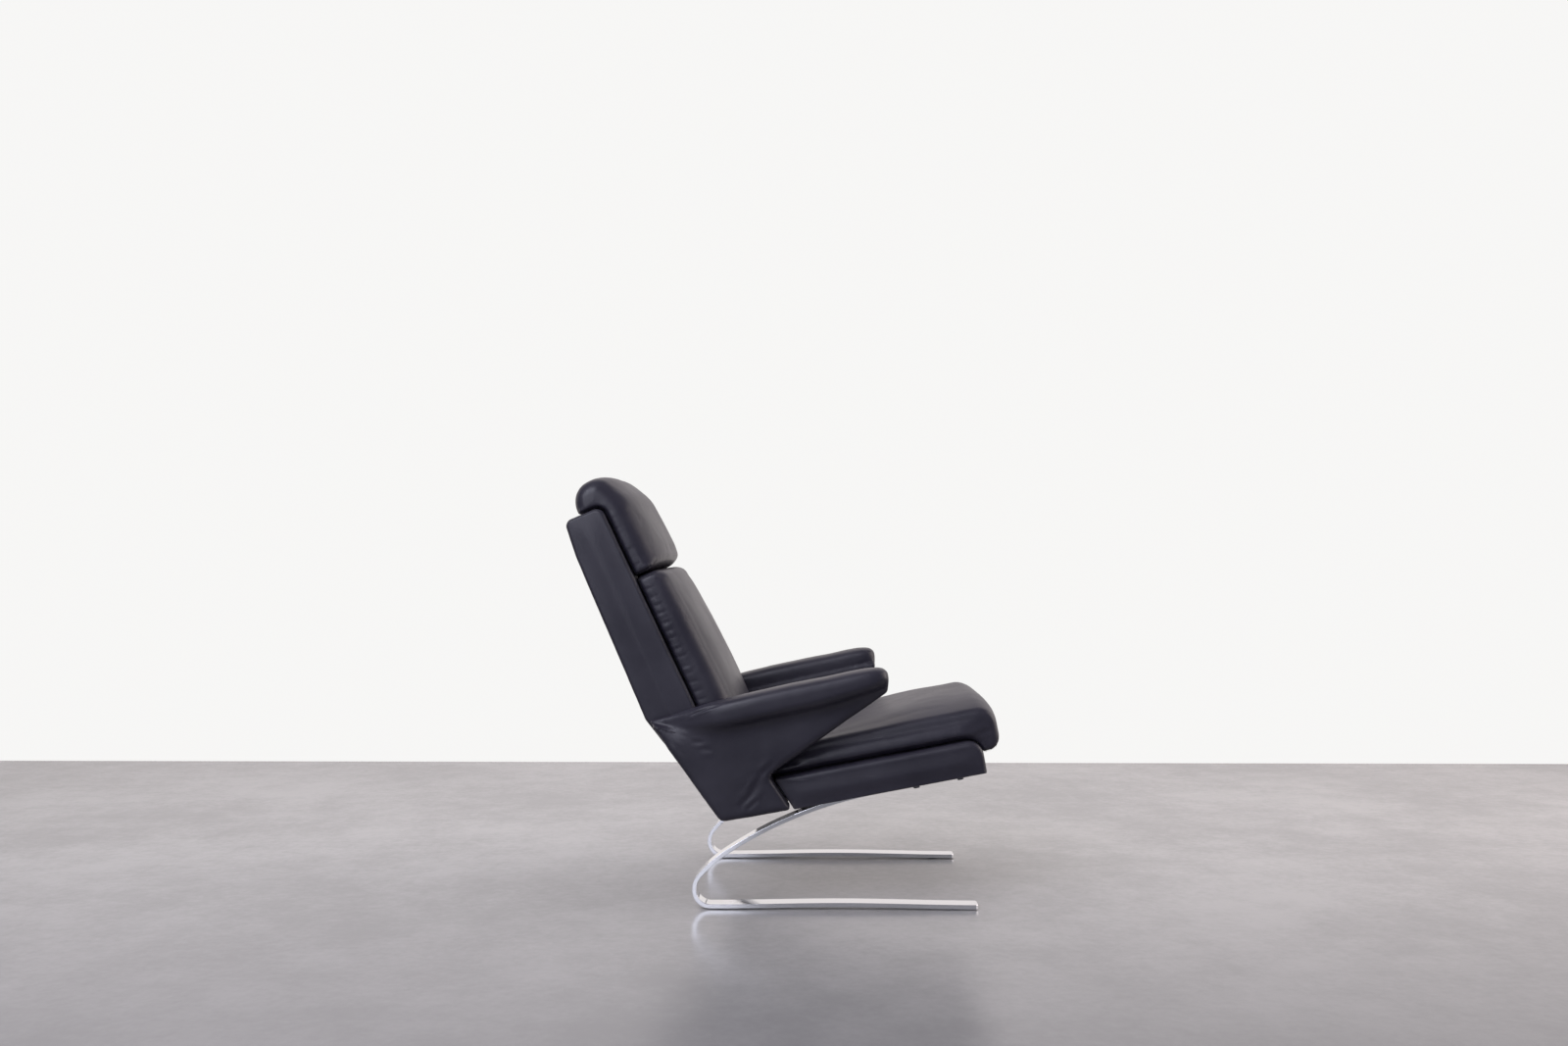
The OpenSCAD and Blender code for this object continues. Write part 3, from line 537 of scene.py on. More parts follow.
def along(path: Array, closed: bool, pitch: float = 0.002) -> Array:
    """Points at an even pitch along a path."""
    rows = np.vstack([path, path[:1]]) if closed else path
    steps = np.linalg.norm(np.diff(rows, axis=0), axis=1)
    reach = np.concatenate([[0.0], np.cumsum(steps)])
    count = max(2, int(reach[-1] / pitch))
    places = np.linspace(0.0, reach[-1], count + 1)[:-1 if closed else None]
    return np.column_stack([np.interp(places, reach, rows[:, k]) for k in range(3)])


@dataclass
class Seam:
    """A sewn line on a piece.

    Args:
        path: the line's points in the row frame
        closed: whether it comes back to its start
        depth: how deep it draws the leather in
        gather: how high the gathers beside it stand
        reach: how far the gathers run from it
    """

    path: Array
    closed: bool = True
    depth: float = 0.0012
    gather: float = 0.0005
    reach: float = 0.010

    def laid(self, tree: BVHTree) -> tuple[Array, Array]:
        """The seam's points moved onto a surface, and the surface's normals there."""
        found = [tree.find_nearest(Vector(p)) for p in along(self.path, self.closed)]
        return np.array([f[0] for f in found]), np.array([f[1] for f in found])


def sew(obj: Object, seams: Sequence[Seam]) -> list[tuple[Array, Array]]:
    """Draw a piece in along its seams and mark how far each point is from one.

    Args:
        obj: the piece
        seams: its seams

    Returns:
        each seam's points on the surface, with the normals there
    """
    surface = surface_of(obj)
    laid = [s.laid(surface) for s in seams]
    tree = search_tree(np.concatenate([path for path, _ in laid]))
    owner = np.repeat(np.arange(len(laid)), [len(path) for path, _ in laid])
    points, normals = points_of(obj.data), normals_of(obj.data)
    distance = np.full(len(points), NO_SEAM)
    for i, p in enumerate(points):
        near, index, d = tree.find(Vector(p))
        if d > NO_SEAM:
            continue
        seam = seams[owner[index]]
        distance[i] = d
        ripple = noise.noise(near * 95.0) + 0.5 * noise.noise(near * 210.0)
        fade = math.exp(-d / seam.reach)
        points[i] += normals[i] * (seam.gather * ripple * fade * min(1.0, d / 0.003)
                                   - seam.depth * math.exp(-(d / 0.0035) ** 2))
    set_points(obj.data, points)
    set_share(obj.data, "seam", distance)
    return laid


@dataclass(frozen=True)
class Fold:
    """A crease with a swell on each side, along a line in a piece's own axes, in millimetres.

    Args:
        start, end: the line's ends as [x, z]
        depth: how deep the crease is
        width: half width of the crease
        kept: share of the depth that is left at the start
    """

    start: tuple[float, float]
    end: tuple[float, float]
    depth: float
    width: float
    kept: float = 0.0

    def height(self, own: Array) -> Array:
        """How far the fold moves points outwards, in metres."""
        a, b = np.array(self.start) / 1000, np.array(self.end) / 1000
        w = self.width / 1000
        length = np.linalg.norm(b - a)
        way = (b - a) / length
        t = np.clip((own - a) @ way / length, -0.15, 1.15)
        off = np.linalg.norm(own - a - np.outer(t * length, way), axis=1)
        hold = np.sin(np.pi * np.clip(t, 0, 1)) ** 0.7
        hold = np.maximum(hold, np.where(t < 0.5, self.kept, 0.0))
        hold = hold * ease((t + 0.15) / 0.15) * ease((1.15 - t) / 0.15)
        profile = -np.exp(-(off / w) ** 2) + 0.45 * np.exp(-((off - 1.9 * w) / w) ** 2)
        return profile * hold * self.depth / 1000


def fold(obj: Object, axes: Axes, folds: Sequence[Fold], outwards: float = 1.0) -> None:
    """Press folds into a piece's side face.

    Args:
        obj: the piece
        axes: the axes that the folds are given in
        folds: the folds
        outwards: 1 or -1, the side of the chair that the face looks to
    """
    points, normals = points_of(obj.data), normals_of(obj.data)
    own = axes.own(points)
    facing = ease((normals[:, 1] * outwards - 0.15) / 0.5)
    height = sum((f.height(own) for f in folds), np.zeros(len(points)))
    set_points(obj.data, points + normals * (height * facing)[:, None])


def uneven(obj: Object, size: float, wave: float, seed: float) -> None:
    """Give a piece the slight unevenness of leather over foam.

    Args:
        obj: the piece
        size: height of the unevenness, in metres
        wave: length of its waves, in metres
        seed: shifts the pattern, so that pieces differ
    """
    points, normals = points_of(obj.data), normals_of(obj.data)
    shift = Vector((seed, seed * 1.7, seed * 0.6))
    heights = np.array([noise.noise(Vector(p) / wave + shift)
                        + 0.4 * noise.noise(Vector(p) / (wave * 0.37) - shift) for p in points])
    set_points(obj.data, points + normals * (heights * size)[:, None])


def mark_wear(obj: Object, reach: float = 0.004) -> None:
    """Store how sharply a piece curves outwards at each point, for worn edges."""
    points, normals = points_of(obj.data), normals_of(obj.data)
    a, b, count = edges_of(obj.data)
    way = points[b] - points[a]
    bend = (np.einsum("ij,ij->i", normals[b] - normals[a], way)
            / (np.einsum("ij,ij->i", way, way) + 1e-12))
    total = np.bincount(a, bend, len(points)) + np.bincount(b, bend, len(points))
    value = total / count * reach
    for _ in range(4):
        spread = np.bincount(a, value[b], len(points)) + np.bincount(b, value[a], len(points))
        value = 0.5 * value + 0.5 * spread / count
    set_share(obj.data, "wear", np.clip(value, 0.0, 1.0))


# Shader nodes.
class Net:
    """A node tree with short calls for adding and joining nodes."""

    def __init__(self, tree: Tree) -> None:
        """Take hold of a tree and empty it."""
        self.tree = tree
        tree.nodes.clear()

    def put(self, socket: Socket, value: object) -> None:
        """Link a socket to another, or set its value; a colour may leave out its alpha."""
        if isinstance(value, bpy.types.NodeSocket):
            self.tree.links.new(value, socket)
        else:
            opaque = socket.type == "RGBA" and len(value) == 3
            socket.default_value = (*value, 1.0) if opaque else value

    def node(self, kind: str, values: Optional[dict] = None, **settings: object) -> bpy.types.Node:
        """Add a node.

        Args:
            kind: the node's type, without the prefix that shader nodes have
            values: what goes into its sockets
            settings: the node's own settings

        Returns:
            the node
        """
        whole = kind.startswith(("GeometryNode", "FunctionNode", "NodeGroup"))
        made = self.tree.nodes.new(kind if whole else f"ShaderNode{kind}")
        for key, value in settings.items():
            setattr(made, key, value)
        for key, value in (values or {}).items():
            self.put(made.inputs[key], value)
        return made

    def math(self, operation: str, *values: object) -> Socket:
        """A sum on numbers."""
        return self.node("Math", dict(enumerate(values)), operation=operation).outputs[0]

    def add(self, *values: object) -> Socket:
        """Two numbers added."""
        return self.math("ADD", *values)

    def times(self, *values: object) -> Socket:
        """Two numbers multiplied."""
        return self.math("MULTIPLY", *values)

    def less(self, *values: object) -> Socket:
        """One number less another."""
        return self.math("SUBTRACT", *values)

    def ramp(self, value: Socket, low: float, high: float, to_low: float = 0.0,
             to_high: float = 1.0) -> Socket:
        """Map a range of a number smoothly onto another range."""
        return self.node("MapRange", {"Value": value, "From Min": low, "From Max": high,
                                      "To Min": to_low, "To Max": to_high},
                         interpolation_type="SMOOTHSTEP").outputs["Result"]

    def blend(self, share: object, first: object, second: object) -> Socket:
        """Mix two colours."""
        return self.node("Mix", {0: share, 6: first, 7: second}, data_type="RGBA").outputs[2]

    def noise(self, vector: Socket, scale: object, detail: float = 3.0,
              roughness: float = 0.5) -> Socket:
        """Cloudy noise."""
        return self.node("TexNoise", {"Vector": vector, "Scale": scale, "Detail": detail,
                                      "Roughness": roughness}).outputs[0]

    def cells(self, vector: Socket, scale: object, feature: str = "DISTANCE_TO_EDGE") -> Socket:
        """Distances in a pattern of cells."""
        return self.node("TexVoronoi", {"Vector": vector, "Scale": scale},
                         feature=feature).outputs["Distance"]

    def stretched(self, vector: Socket, scale: Place) -> Socket:
        """Coordinates stretched."""
        return self.node("Mapping", {"Vector": vector, "Scale": scale}).outputs[0]

    def shifted(self, vector: Socket, by: Socket) -> Socket:
        """Coordinates moved."""
        return self.node("VectorMath", {0: vector, 1: by}, operation="ADD").outputs[0]

    def axis(self, vector: Socket, name: str) -> Socket:
        """One axis of coordinates."""
        return self.node("SeparateXYZ", {0: vector}).outputs[name]


def start_tree(kind: str, name: str, takes: dict[str, object], gives: dict[str, str]) -> tuple[
        Tree, Net, bpy.types.NodeOutputs]:
    """Start a node group.

    Args:
        kind: Shader or Geometry
        name: the group's name
        takes: its inputs, each with its default, or its type where it has none
        gives: its outputs, each with its type

    Returns:
        the tree, its Net and what it is given
    """
    tree = bpy.data.node_groups.new(name, f"{kind}NodeTree")
    words = {float: "Float", int: "Int"}
    for label, default in takes.items():
        word = words.get(type(default), default)
        socket = tree.interface.new_socket(label, in_out="INPUT", socket_type=f"NodeSocket{word}")
        if word is not default:
            socket.default_value = default
    for label, word in gives.items():
        tree.interface.new_socket(label, in_out="OUTPUT", socket_type=f"NodeSocket{word}")
    net = Net(tree)
    return tree, net, net.node("NodeGroupInput").outputs


def grain_group() -> Tree:
    """Leather grain: small pebbles broken by pores and fine creases; height in millimetres."""
    tree, net, given = start_tree("Shader", "hide_grain",
                                  {"Vector": "Vector", "Pebble": 800.0, "Crease": 90.0},
                                  {"Height": "Float", "Cloud": "Float"})
    place = given["Vector"]
    moved = net.shifted(place, net.noise(place, 260.0, 2.0))
    lump = net.ramp(net.cells(place, given["Pebble"]), 0.0, 0.35)
    line = net.ramp(net.cells(moved, given["Crease"]), 0.0, 0.06)
    soft = net.ramp(net.noise(place, 24.0, 2.0), 0.45, 0.75)
    creased = net.times(net.less(line, 1.0), net.times(soft, 0.05))
    net.node("NodeGroupOutput", {"Height": net.add(net.times(lump, 0.035), creased),
                                 "Cloud": net.noise(place, 7.0, 4.0, 0.55)})
    return tree


def seam_group() -> Tree:
    """The valley and the turned edges of a seam, from the distance to it; height in millimetres."""
    tree, net, given = start_tree("Shader", "seam_relief", {"Distance": NO_SEAM},
                                  {"Height": "Float", "Line": "Float"})
    valley = net.ramp(given["Distance"], 0.0002, 0.0016)
    swell = net.less(1.0, net.ramp(given["Distance"], 0.002, 0.007))
    net.node("NodeGroupOutput", {"Height": net.add(net.times(valley, 0.7), net.times(swell, 0.25)),
                                 "Line": valley})
    return tree


def wear_group() -> Tree:
    """Rubbed edges and dust on faces that look up, as masks."""
    tree, net, given = start_tree("Shader", "wear_and_dust",
                                  {"Vector": "Vector", "Edge": 0.0, "Rub": 60.0},
                                  {"Rubbed": "Float", "Dust": "Float"})
    place = given["Vector"]
    patch = net.noise(place, given["Rub"], 4.0, 0.6)
    up = net.axis(net.node("NewGeometry").outputs["Normal"], "Z")
    speck = net.ramp(net.noise(place, 340.0, 2.0), 0.58, 0.72)
    cloud = net.ramp(net.noise(place, 5.0, 3.0), 0.35, 0.75)
    net.node("NodeGroupOutput", {
        "Rubbed": net.ramp(net.times(given["Edge"], patch), 0.12, 0.5),
        "Dust": net.times(net.times(net.ramp(up, 0.4, 1.0), cloud), speck)})
    return tree


def brushing_group() -> Tree:
    """Fine drawn lines and smudges on metal, as a height and a mask."""
    tree, net, given = start_tree("Shader", "drawn_metal", {"Vector": "Vector", "Lines": 900.0},
                                  {"Height": "Float", "Smudge": "Float"})
    place = given["Vector"]
    net.node("NodeGroupOutput", {
        "Height": net.noise(net.stretched(place, (0.02, 1.0, 0.3)), given["Lines"], 2.0),
        "Smudge": net.ramp(net.noise(place, 16.0, 5.0, 0.62), 0.42, 0.72)})
    return tree


@dataclass(frozen=True)
class Groups:
    """The node groups that the finishes share, each built once."""

    grain: Tree = field(default_factory=grain_group)
    seam: Tree = field(default_factory=seam_group)
    wear: Tree = field(default_factory=wear_group)
    brushing: Tree = field(default_factory=brushing_group)


class Bench(Net):
    """A material in the making: its net, shader, coordinates and calls for groups."""

    def __init__(self, name: str) -> None:
        """Start a material."""
        self.material = bpy.data.materials.new(name)
        self.material.use_nodes = True
        super().__init__(self.material.node_tree)
        self.shader = self.node("BsdfPrincipled")
        self.surface = self.node("OutputMaterial", {"Surface": self.shader.outputs[0]}).inputs[0]
        self.place = self.node("TexCoord").outputs["Object"]

    def group(self, tree: Tree, **values: object) -> bpy.types.NodeOutputs:
        """What a shared group makes of values for its sockets."""
        return self.node("Group", values, node_tree=tree).outputs

    def mark(self, name: str) -> Socket:
        """A number stored on the piece."""
        return self.node("Attribute", attribute_name=name).outputs["Fac"]

    def shade(self, colour: object, rough: object, **others: object) -> None:
        """Set the shader's colour and roughness and others of its sockets, with _ for a space."""
        for key, value in {"Base_Color": colour, "Roughness": rough, **others}.items():
            self.put(self.shader.inputs[key.replace("_", " ")], value)

    def relief(self, height: Socket, distance: float) -> None:
        """Bump from a height, with the real distance that a height of 1 stands for."""
        bump = self.node("Bump", {"Height": height, "Distance": distance, "Strength": 1.0})
        self.put(self.shader.inputs["Normal"], bump.outputs[0])


def darker(colour: Place, share: float) -> Place:
    """A share of a colour."""
    return tuple(c * share for c in colour)


@dataclass(frozen=True)
class Finish:
    """A finish, named for its material; each kind lays its own nodes.

    Args:
        name: the material's name
    """

    name: str

    def lay(self, f: Bench, groups: Groups) -> None:
        """Lay the finish's nodes; a plain finish has none."""

    def material(self, groups: Groups) -> Material:
        """Build the material."""
        bench = Bench(self.name)
        self.lay(bench, groups)
        return bench.material


@dataclass(frozen=True)
class Leather(Finish):
    """Smooth satin leather over foam.

    Args:
        deep, pale: its colours, which change in clouds
        worn, dust, thread_hole: its colours where it is rubbed, dusty and sewn
        gloss: its roughness where it is smoothest
    """

    deep: Place = (0.0170, 0.0155, 0.0255)
    pale: Place = (0.0260, 0.0240, 0.0360)
    worn: Place = (0.075, 0.070, 0.075)
    dust: Place = (0.32, 0.31, 0.29)
    thread_hole: Place = (0.004, 0.004, 0.005)
    gloss: float = 0.36

    def lay(self, f: Bench, groups: Groups) -> None:
        """Grain, seams, rubbed edges and dust."""
        grain = f.group(groups.grain, Vector=f.place, Pebble=820.0, Crease=85.0)
        seam = f.group(groups.seam, Distance=f.mark("seam"))
        wear = f.group(groups.wear, Vector=f.place, Edge=f.mark("wear"), Rub=55.0)
        hide = f.blend(f.ramp(grain["Cloud"], 0.3, 0.7), self.deep, self.pale)
        rubbed = f.blend(f.times(wear["Rubbed"], 0.35), hide, self.worn)
        dusty = f.blend(f.times(wear["Dust"], 0.10), rubbed, self.dust)
        sewn = f.blend(f.less(1.0, seam["Line"]), dusty, self.thread_hole)
        satin = f.ramp(grain["Cloud"], 0.25, 0.75, self.gloss, self.gloss + 0.07)
        f.shade(sewn, f.add(satin, f.times(wear["Dust"], 0.15)), Specular_IOR_Level=0.4)
        f.relief(f.add(grain["Height"], seam["Height"]), 0.001)


@dataclass(frozen=True)
class Chrome(Finish):
    """Polished chrome plate on spring steel."""

    tint: Place = (0.80, 0.81, 0.83)
    dust: Place = (0.55, 0.54, 0.52)

    def lay(self, f: Bench, groups: Groups) -> None:
        """Fine drawn lines, smudges and dust."""
        drawn = f.group(groups.brushing, Vector=f.place, Lines=700.0)
        wear = f.group(groups.wear, Vector=f.place, Edge=0.0, Rub=60.0)
        f.shade(f.blend(f.times(wear["Dust"], 0.25), self.tint, self.dust),
                f.add(f.times(drawn["Smudge"], 0.05), 0.045), Metallic=1.0)
        f.relief(drawn["Height"], 0.000012)


@dataclass(frozen=True)
class Plated(Finish):
    """Zinc-plated or blackened steel of bolts, nuts and brackets."""

    colour: Place
    rough: float

    def lay(self, f: Bench, groups: Groups) -> None:
        """Drawn lines and smudges."""
        drawn = f.group(groups.brushing, Vector=f.place, Lines=500.0)
        f.shade(f.blend(drawn["Smudge"], self.colour, darker(self.colour, 0.72)),
                f.ramp(drawn["Smudge"], 0.0, 1.0, self.rough, self.rough + 0.14), Metallic=1.0)
        f.relief(drawn["Height"], 0.00008)


@dataclass(frozen=True)
class Timber(Finish):
    """Sawn softwood and plywood of the hidden frames."""

    early: Place = (0.50, 0.34, 0.19)
    late: Place = (0.28, 0.16, 0.08)

    def lay(self, f: Bench, groups: Groups) -> None:
        """Year rings and fibres along the seat."""
        bent = f.noise(f.place, 3.0, 3.0)
        drawn = f.shifted(f.stretched(f.place, (1.0, 9.0, 14.0)), bent)
        rings = f.ramp(f.noise(drawn, 7.0, 5.0, 0.6), 0.38, 0.66)
        fibre = f.noise(f.stretched(f.place, (6.0, 90.0, 90.0)), 9.0, 3.0)
        f.shade(f.blend(rings, self.early, self.late), f.ramp(fibre, 0.2, 0.8, 0.6, 0.85))
        f.relief(fibre, 0.0003)


@dataclass(frozen=True)
class Woven(Finish):
    """Woven webbing or lining cloth.

    Args:
        colour: the cloth's colour
        threads: threads per metre
    """

    colour: Place
    threads: float

    def lay(self, f: Bench, groups: Groups) -> None:
        """Warp and weft."""
        turn = self.threads * math.pi
        warp, weft = (f.math("SINE", f.times(f.axis(f.place, way), turn)) for way in "YX")
        weave = f.ramp(f.times(warp, weft), -1.0, 1.0)
        fuzz = f.noise(f.place, self.threads * 1.5, 3.0)
        f.shade(f.blend(f.times(weave, fuzz), darker(self.colour, 0.45), self.colour),
                f.ramp(fuzz, 0.2, 0.8, 0.8, 0.95))
        f.relief(weave, 0.4 / self.threads)


@dataclass(frozen=True)
class Foam(Finish):
    """Open-cell foam of the cushion cores."""

    colour: Place = (0.72, 0.62, 0.36)

    def lay(self, f: Bench, groups: Groups) -> None:
        """Open cells, and patches that have aged."""
        pit = f.ramp(f.cells(f.place, 620.0, "F1"), 0.1, 0.6)
        age = f.noise(f.place, 4.0, 3.0)
        f.shade(f.blend(f.times(pit, age), self.colour, darker(self.colour, 0.55)),
                f.ramp(pit, 0.0, 1.0, 0.95, 0.8))
        f.relief(pit, -0.0006)


@dataclass(frozen=True)
class Moulded(Finish):
    """Moulded nylon of the glides and waxed thread of the stitches."""

    colour: Place
    rough: float
    texture: float

    def lay(self, f: Bench, groups: Groups) -> None:
        """Specks and pale scuffs."""
        speck = f.noise(f.place, self.texture, 3.0)
        scuff = f.ramp(f.noise(f.place, 45.0, 4.0), 0.5, 0.75)
        light = tuple(min(1.0, c * 1.8 + 0.01) for c in self.colour)
        f.shade(f.blend(f.times(scuff, 0.5), self.colour, light),
                f.ramp(speck, 0.3, 0.7, self.rough, self.rough + 0.12))
        f.relief(speck, 0.00006)


@dataclass(frozen=True)
class ZipTape(Finish):
    """A zip: tape with a row of dull metal teeth across it."""

    tape: Place = (0.012, 0.012, 0.013)
    tooth: Place = (0.30, 0.27, 0.22)

    def lay(self, f: Bench, groups: Groups) -> None:
        """Teeth at an even pitch across the chair."""
        teeth = f.math("SINE", f.times(f.axis(f.place, "Y"), 2500.0))
        share = f.ramp(teeth, -0.2, 0.3)
        f.shade(f.blend(share, self.tape, self.tooth), f.ramp(share, 0.0, 1.0, 0.85, 0.38),
                Metallic=share)
        f.relief(share, 0.0006)


class Finishes:
    """Every finish of the chair, by slot, and the two that have no slot of their own."""

    def __init__(self) -> None:
        """Build the materials."""
        makers = {
            Slot.LEATHER: Leather("satin_leather"), Slot.CHROME: Chrome("polished_chrome"),
            Slot.TIMBER: Timber("sawn_timber"), Slot.FOAM: Foam("open_cell_foam"),
            Slot.HARDWARE: Plated("plated_steel", (0.42, 0.43, 0.46), 0.3),
            Slot.WEBBING: Woven("stretched_webbing", (0.045, 0.038, 0.03), 900.0),
            Slot.LINING: Woven("bottom_cloth", (0.02, 0.02, 0.021), 2600.0),
            Slot.ZIP: ZipTape("zip_teeth"),
            Slot.GLIDE: Moulded("glide_nylon", (0.03, 0.03, 0.032), 0.5, 700.0),
        }
        groups = Groups()
        self.by_slot = {slot: maker.material(groups) for slot, maker in makers.items()}
        thread = Moulded("waxed_thread", (0.022, 0.021, 0.026), 0.45, 3000.0)
        self.thread = thread.material(groups)
        self.black_bolt = Plated("blackened_bolt", (0.09, 0.09, 0.1), 0.34).material(groups)


def dress(obj: Object, material: Material, body: Optional[Body],
          replaces: Sequence[str] = ()) -> None:
    """Give a piece its material, slot and body.

    Args:
        obj: the piece
        material: its material
        body: the body that it rides on, or None for a piece that is attached to no body
        replaces: CAD nodes that it stands for
    """
    obj.data.materials.clear()
    obj.data.materials.append(material)
    if body is not None:
        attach(obj, body.value)
    if replaces:
        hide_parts(*replaces)
    log.info("%s: %d faces, on %s", obj.name, len(obj.data.polygons),
             body.value if body else "two bodies")


# Repeated pieces, by geometry nodes.
def run_tree(obj: Object, tree: Tree, values: dict[str, object]) -> Object:
    """Run a geometry tree on an object and keep the result as plain mesh.

    Args:
        obj: the object that carries the path or points
        tree: the tree
        values: values of the tree's named inputs

    Returns:
        the same object with the new mesh
    """
    step = obj.modifiers.new(tree.name, "NODES")
    step.node_group = tree
    for item in tree.interface.items_tree:
        if item.name in values:
            step[item.identifier] = values[item.name]
    return settle(obj)


def finish_copies(net: Net, places: dict[str, Socket], material: Material, smooth: bool) -> None:
    """End a tree with copies set on points, as one mesh.

    Args:
        net: the tree's net
        places: the sockets that say what is set where
        material: the copies' material
        smooth: whether they are shaded smooth
    """
    mesh = net.node("GeometryNodeInstanceOnPoints", places).outputs[0]
    mesh = net.node("GeometryNodeRealizeInstances", {"Geometry": mesh}).outputs[0]
    if smooth:
        mesh = net.node("GeometryNodeSetShadeSmooth", {"Geometry": mesh}).outputs[0]
    mesh = net.node("GeometryNodeSetMaterial", {"Geometry": mesh, "Material": material}).outputs[0]
    net.node("NodeGroupOutput", {"Copies": mesh})


def stitch_tree(material: Material) -> Tree:
    """Short rounded stitches, or staples, at an even pitch along paths.

    Args:
        material: the thread's or wire's material

    Returns:
        the tree, with the inputs Pitch, Length, Thickness, Scatter and Seed
    """
    takes = {"Paths": "Geometry", "Pitch": 0.0045, "Length": 0.0034, "Thickness": 0.0007,
             "Scatter": 0.1, "Seed": 7}
    tree, net, given = start_tree("Geometry", f"rows_of_{material.name}", takes,
                                  {"Copies": "Geometry"})
    curve = net.node("GeometryNodeMeshToCurve", {"Mesh": given["Paths"]}).outputs[0]
    even = net.node("GeometryNodeResampleCurve", {"Curve": curve, "Length": given["Pitch"]},
                    mode="LENGTH")
    bead = net.node("GeometryNodeMeshUVSphere", {"Segments": 6, "Rings": 5, "Radius": 0.5})
    thick = given["Thickness"]
    size = net.node("CombineXYZ", {"X": given["Length"], "Y": thick, "Z": thick})
    shaped = net.node("GeometryNodeTransform", {"Geometry": bead.outputs["Mesh"],
                                                "Scale": size.outputs[0]})
    way = net.node("GeometryNodeInputTangent").outputs[0]
    turn = net.node("FunctionNodeAlignRotationToVector", {"Vector": way}, axis="X")
    least, most = net.less(1.0, given["Scatter"]), net.add(1.0, given["Scatter"])
    vary = net.node("FunctionNodeRandomValue", {2: least, 3: most, "Seed": given["Seed"]},
                    data_type="FLOAT")
    finish_copies(net, {"Points": even.outputs[0], "Instance": shaped.outputs[0],
                        "Rotation": turn.outputs[0], "Scale": vary.outputs[1]}, material, True)
    return tree


def copies_tree(name: str, material: Material) -> Tree:
    """A pattern piece set at each point of a mesh, turned alike.

    Args:
        name: the tree's name
        material: the pieces' material

    Returns:
        the tree, with the inputs Pattern and Turn
    """
    tree, net, given = start_tree("Geometry", name, {
        "Places": "Geometry", "Pattern": "Object", "Turn": "Vector"}, {"Copies": "Geometry"})
    pattern = net.node("GeometryNodeObjectInfo", {"Object": given["Pattern"]})
    turn = net.node("FunctionNodeEulerToRotation", {"Euler": given["Turn"]})
    finish_copies(net, {"Points": given["Places"], "Instance": pattern.outputs["Geometry"],
                        "Rotation": turn.outputs[0]}, material, False)
    return tree


@dataclass
class Thread:
    """Collects the seams' stitches and makes them in one piece.

    Args:
        material: the thread's material
        aside: how far beside its seam a row of stitches runs
        lift: how far the stitches stand off the leather
    """

    material: Material
    aside: float = 0.0035
    lift: float = 0.00015
    points: list[Array] = field(default_factory=list)
    edges: list[tuple[int, int]] = field(default_factory=list)

    def add(self, laid: Sequence[tuple[Array, Array]]) -> None:
        """Run stitches beside open seams.

        Args:
            laid: the seams' points on the surface, with the normals there
        """
        for path, normals in laid:
            side = -np.sign(path[:, 1].mean()) * self.aside
            across = np.cross(normals, np.roll(path, -1, axis=0) - path)
            across /= np.linalg.norm(across, axis=1, keepdims=True) + 1e-12
            across *= np.sign(across[:, 1] * side + 1e-9)[:, None]
            start = len(self.points)
            self.points.extend(path + normals * self.lift + across * abs(self.aside))
            self.edges.extend((start + i, start + i + 1) for i in range(len(path) - 1))

    def make(self, name: str) -> None:
        """Make all the stitches."""
        obj = run_tree(wire_object(name, self.points, self.edges), stitch_tree(self.material),
                       {"Pitch": 0.0044, "Length": 0.0034, "Thickness": 0.0008, "Scatter": 0.08,
                        "Seed": 11})
        dress(obj, self.material, Body.SEAT)


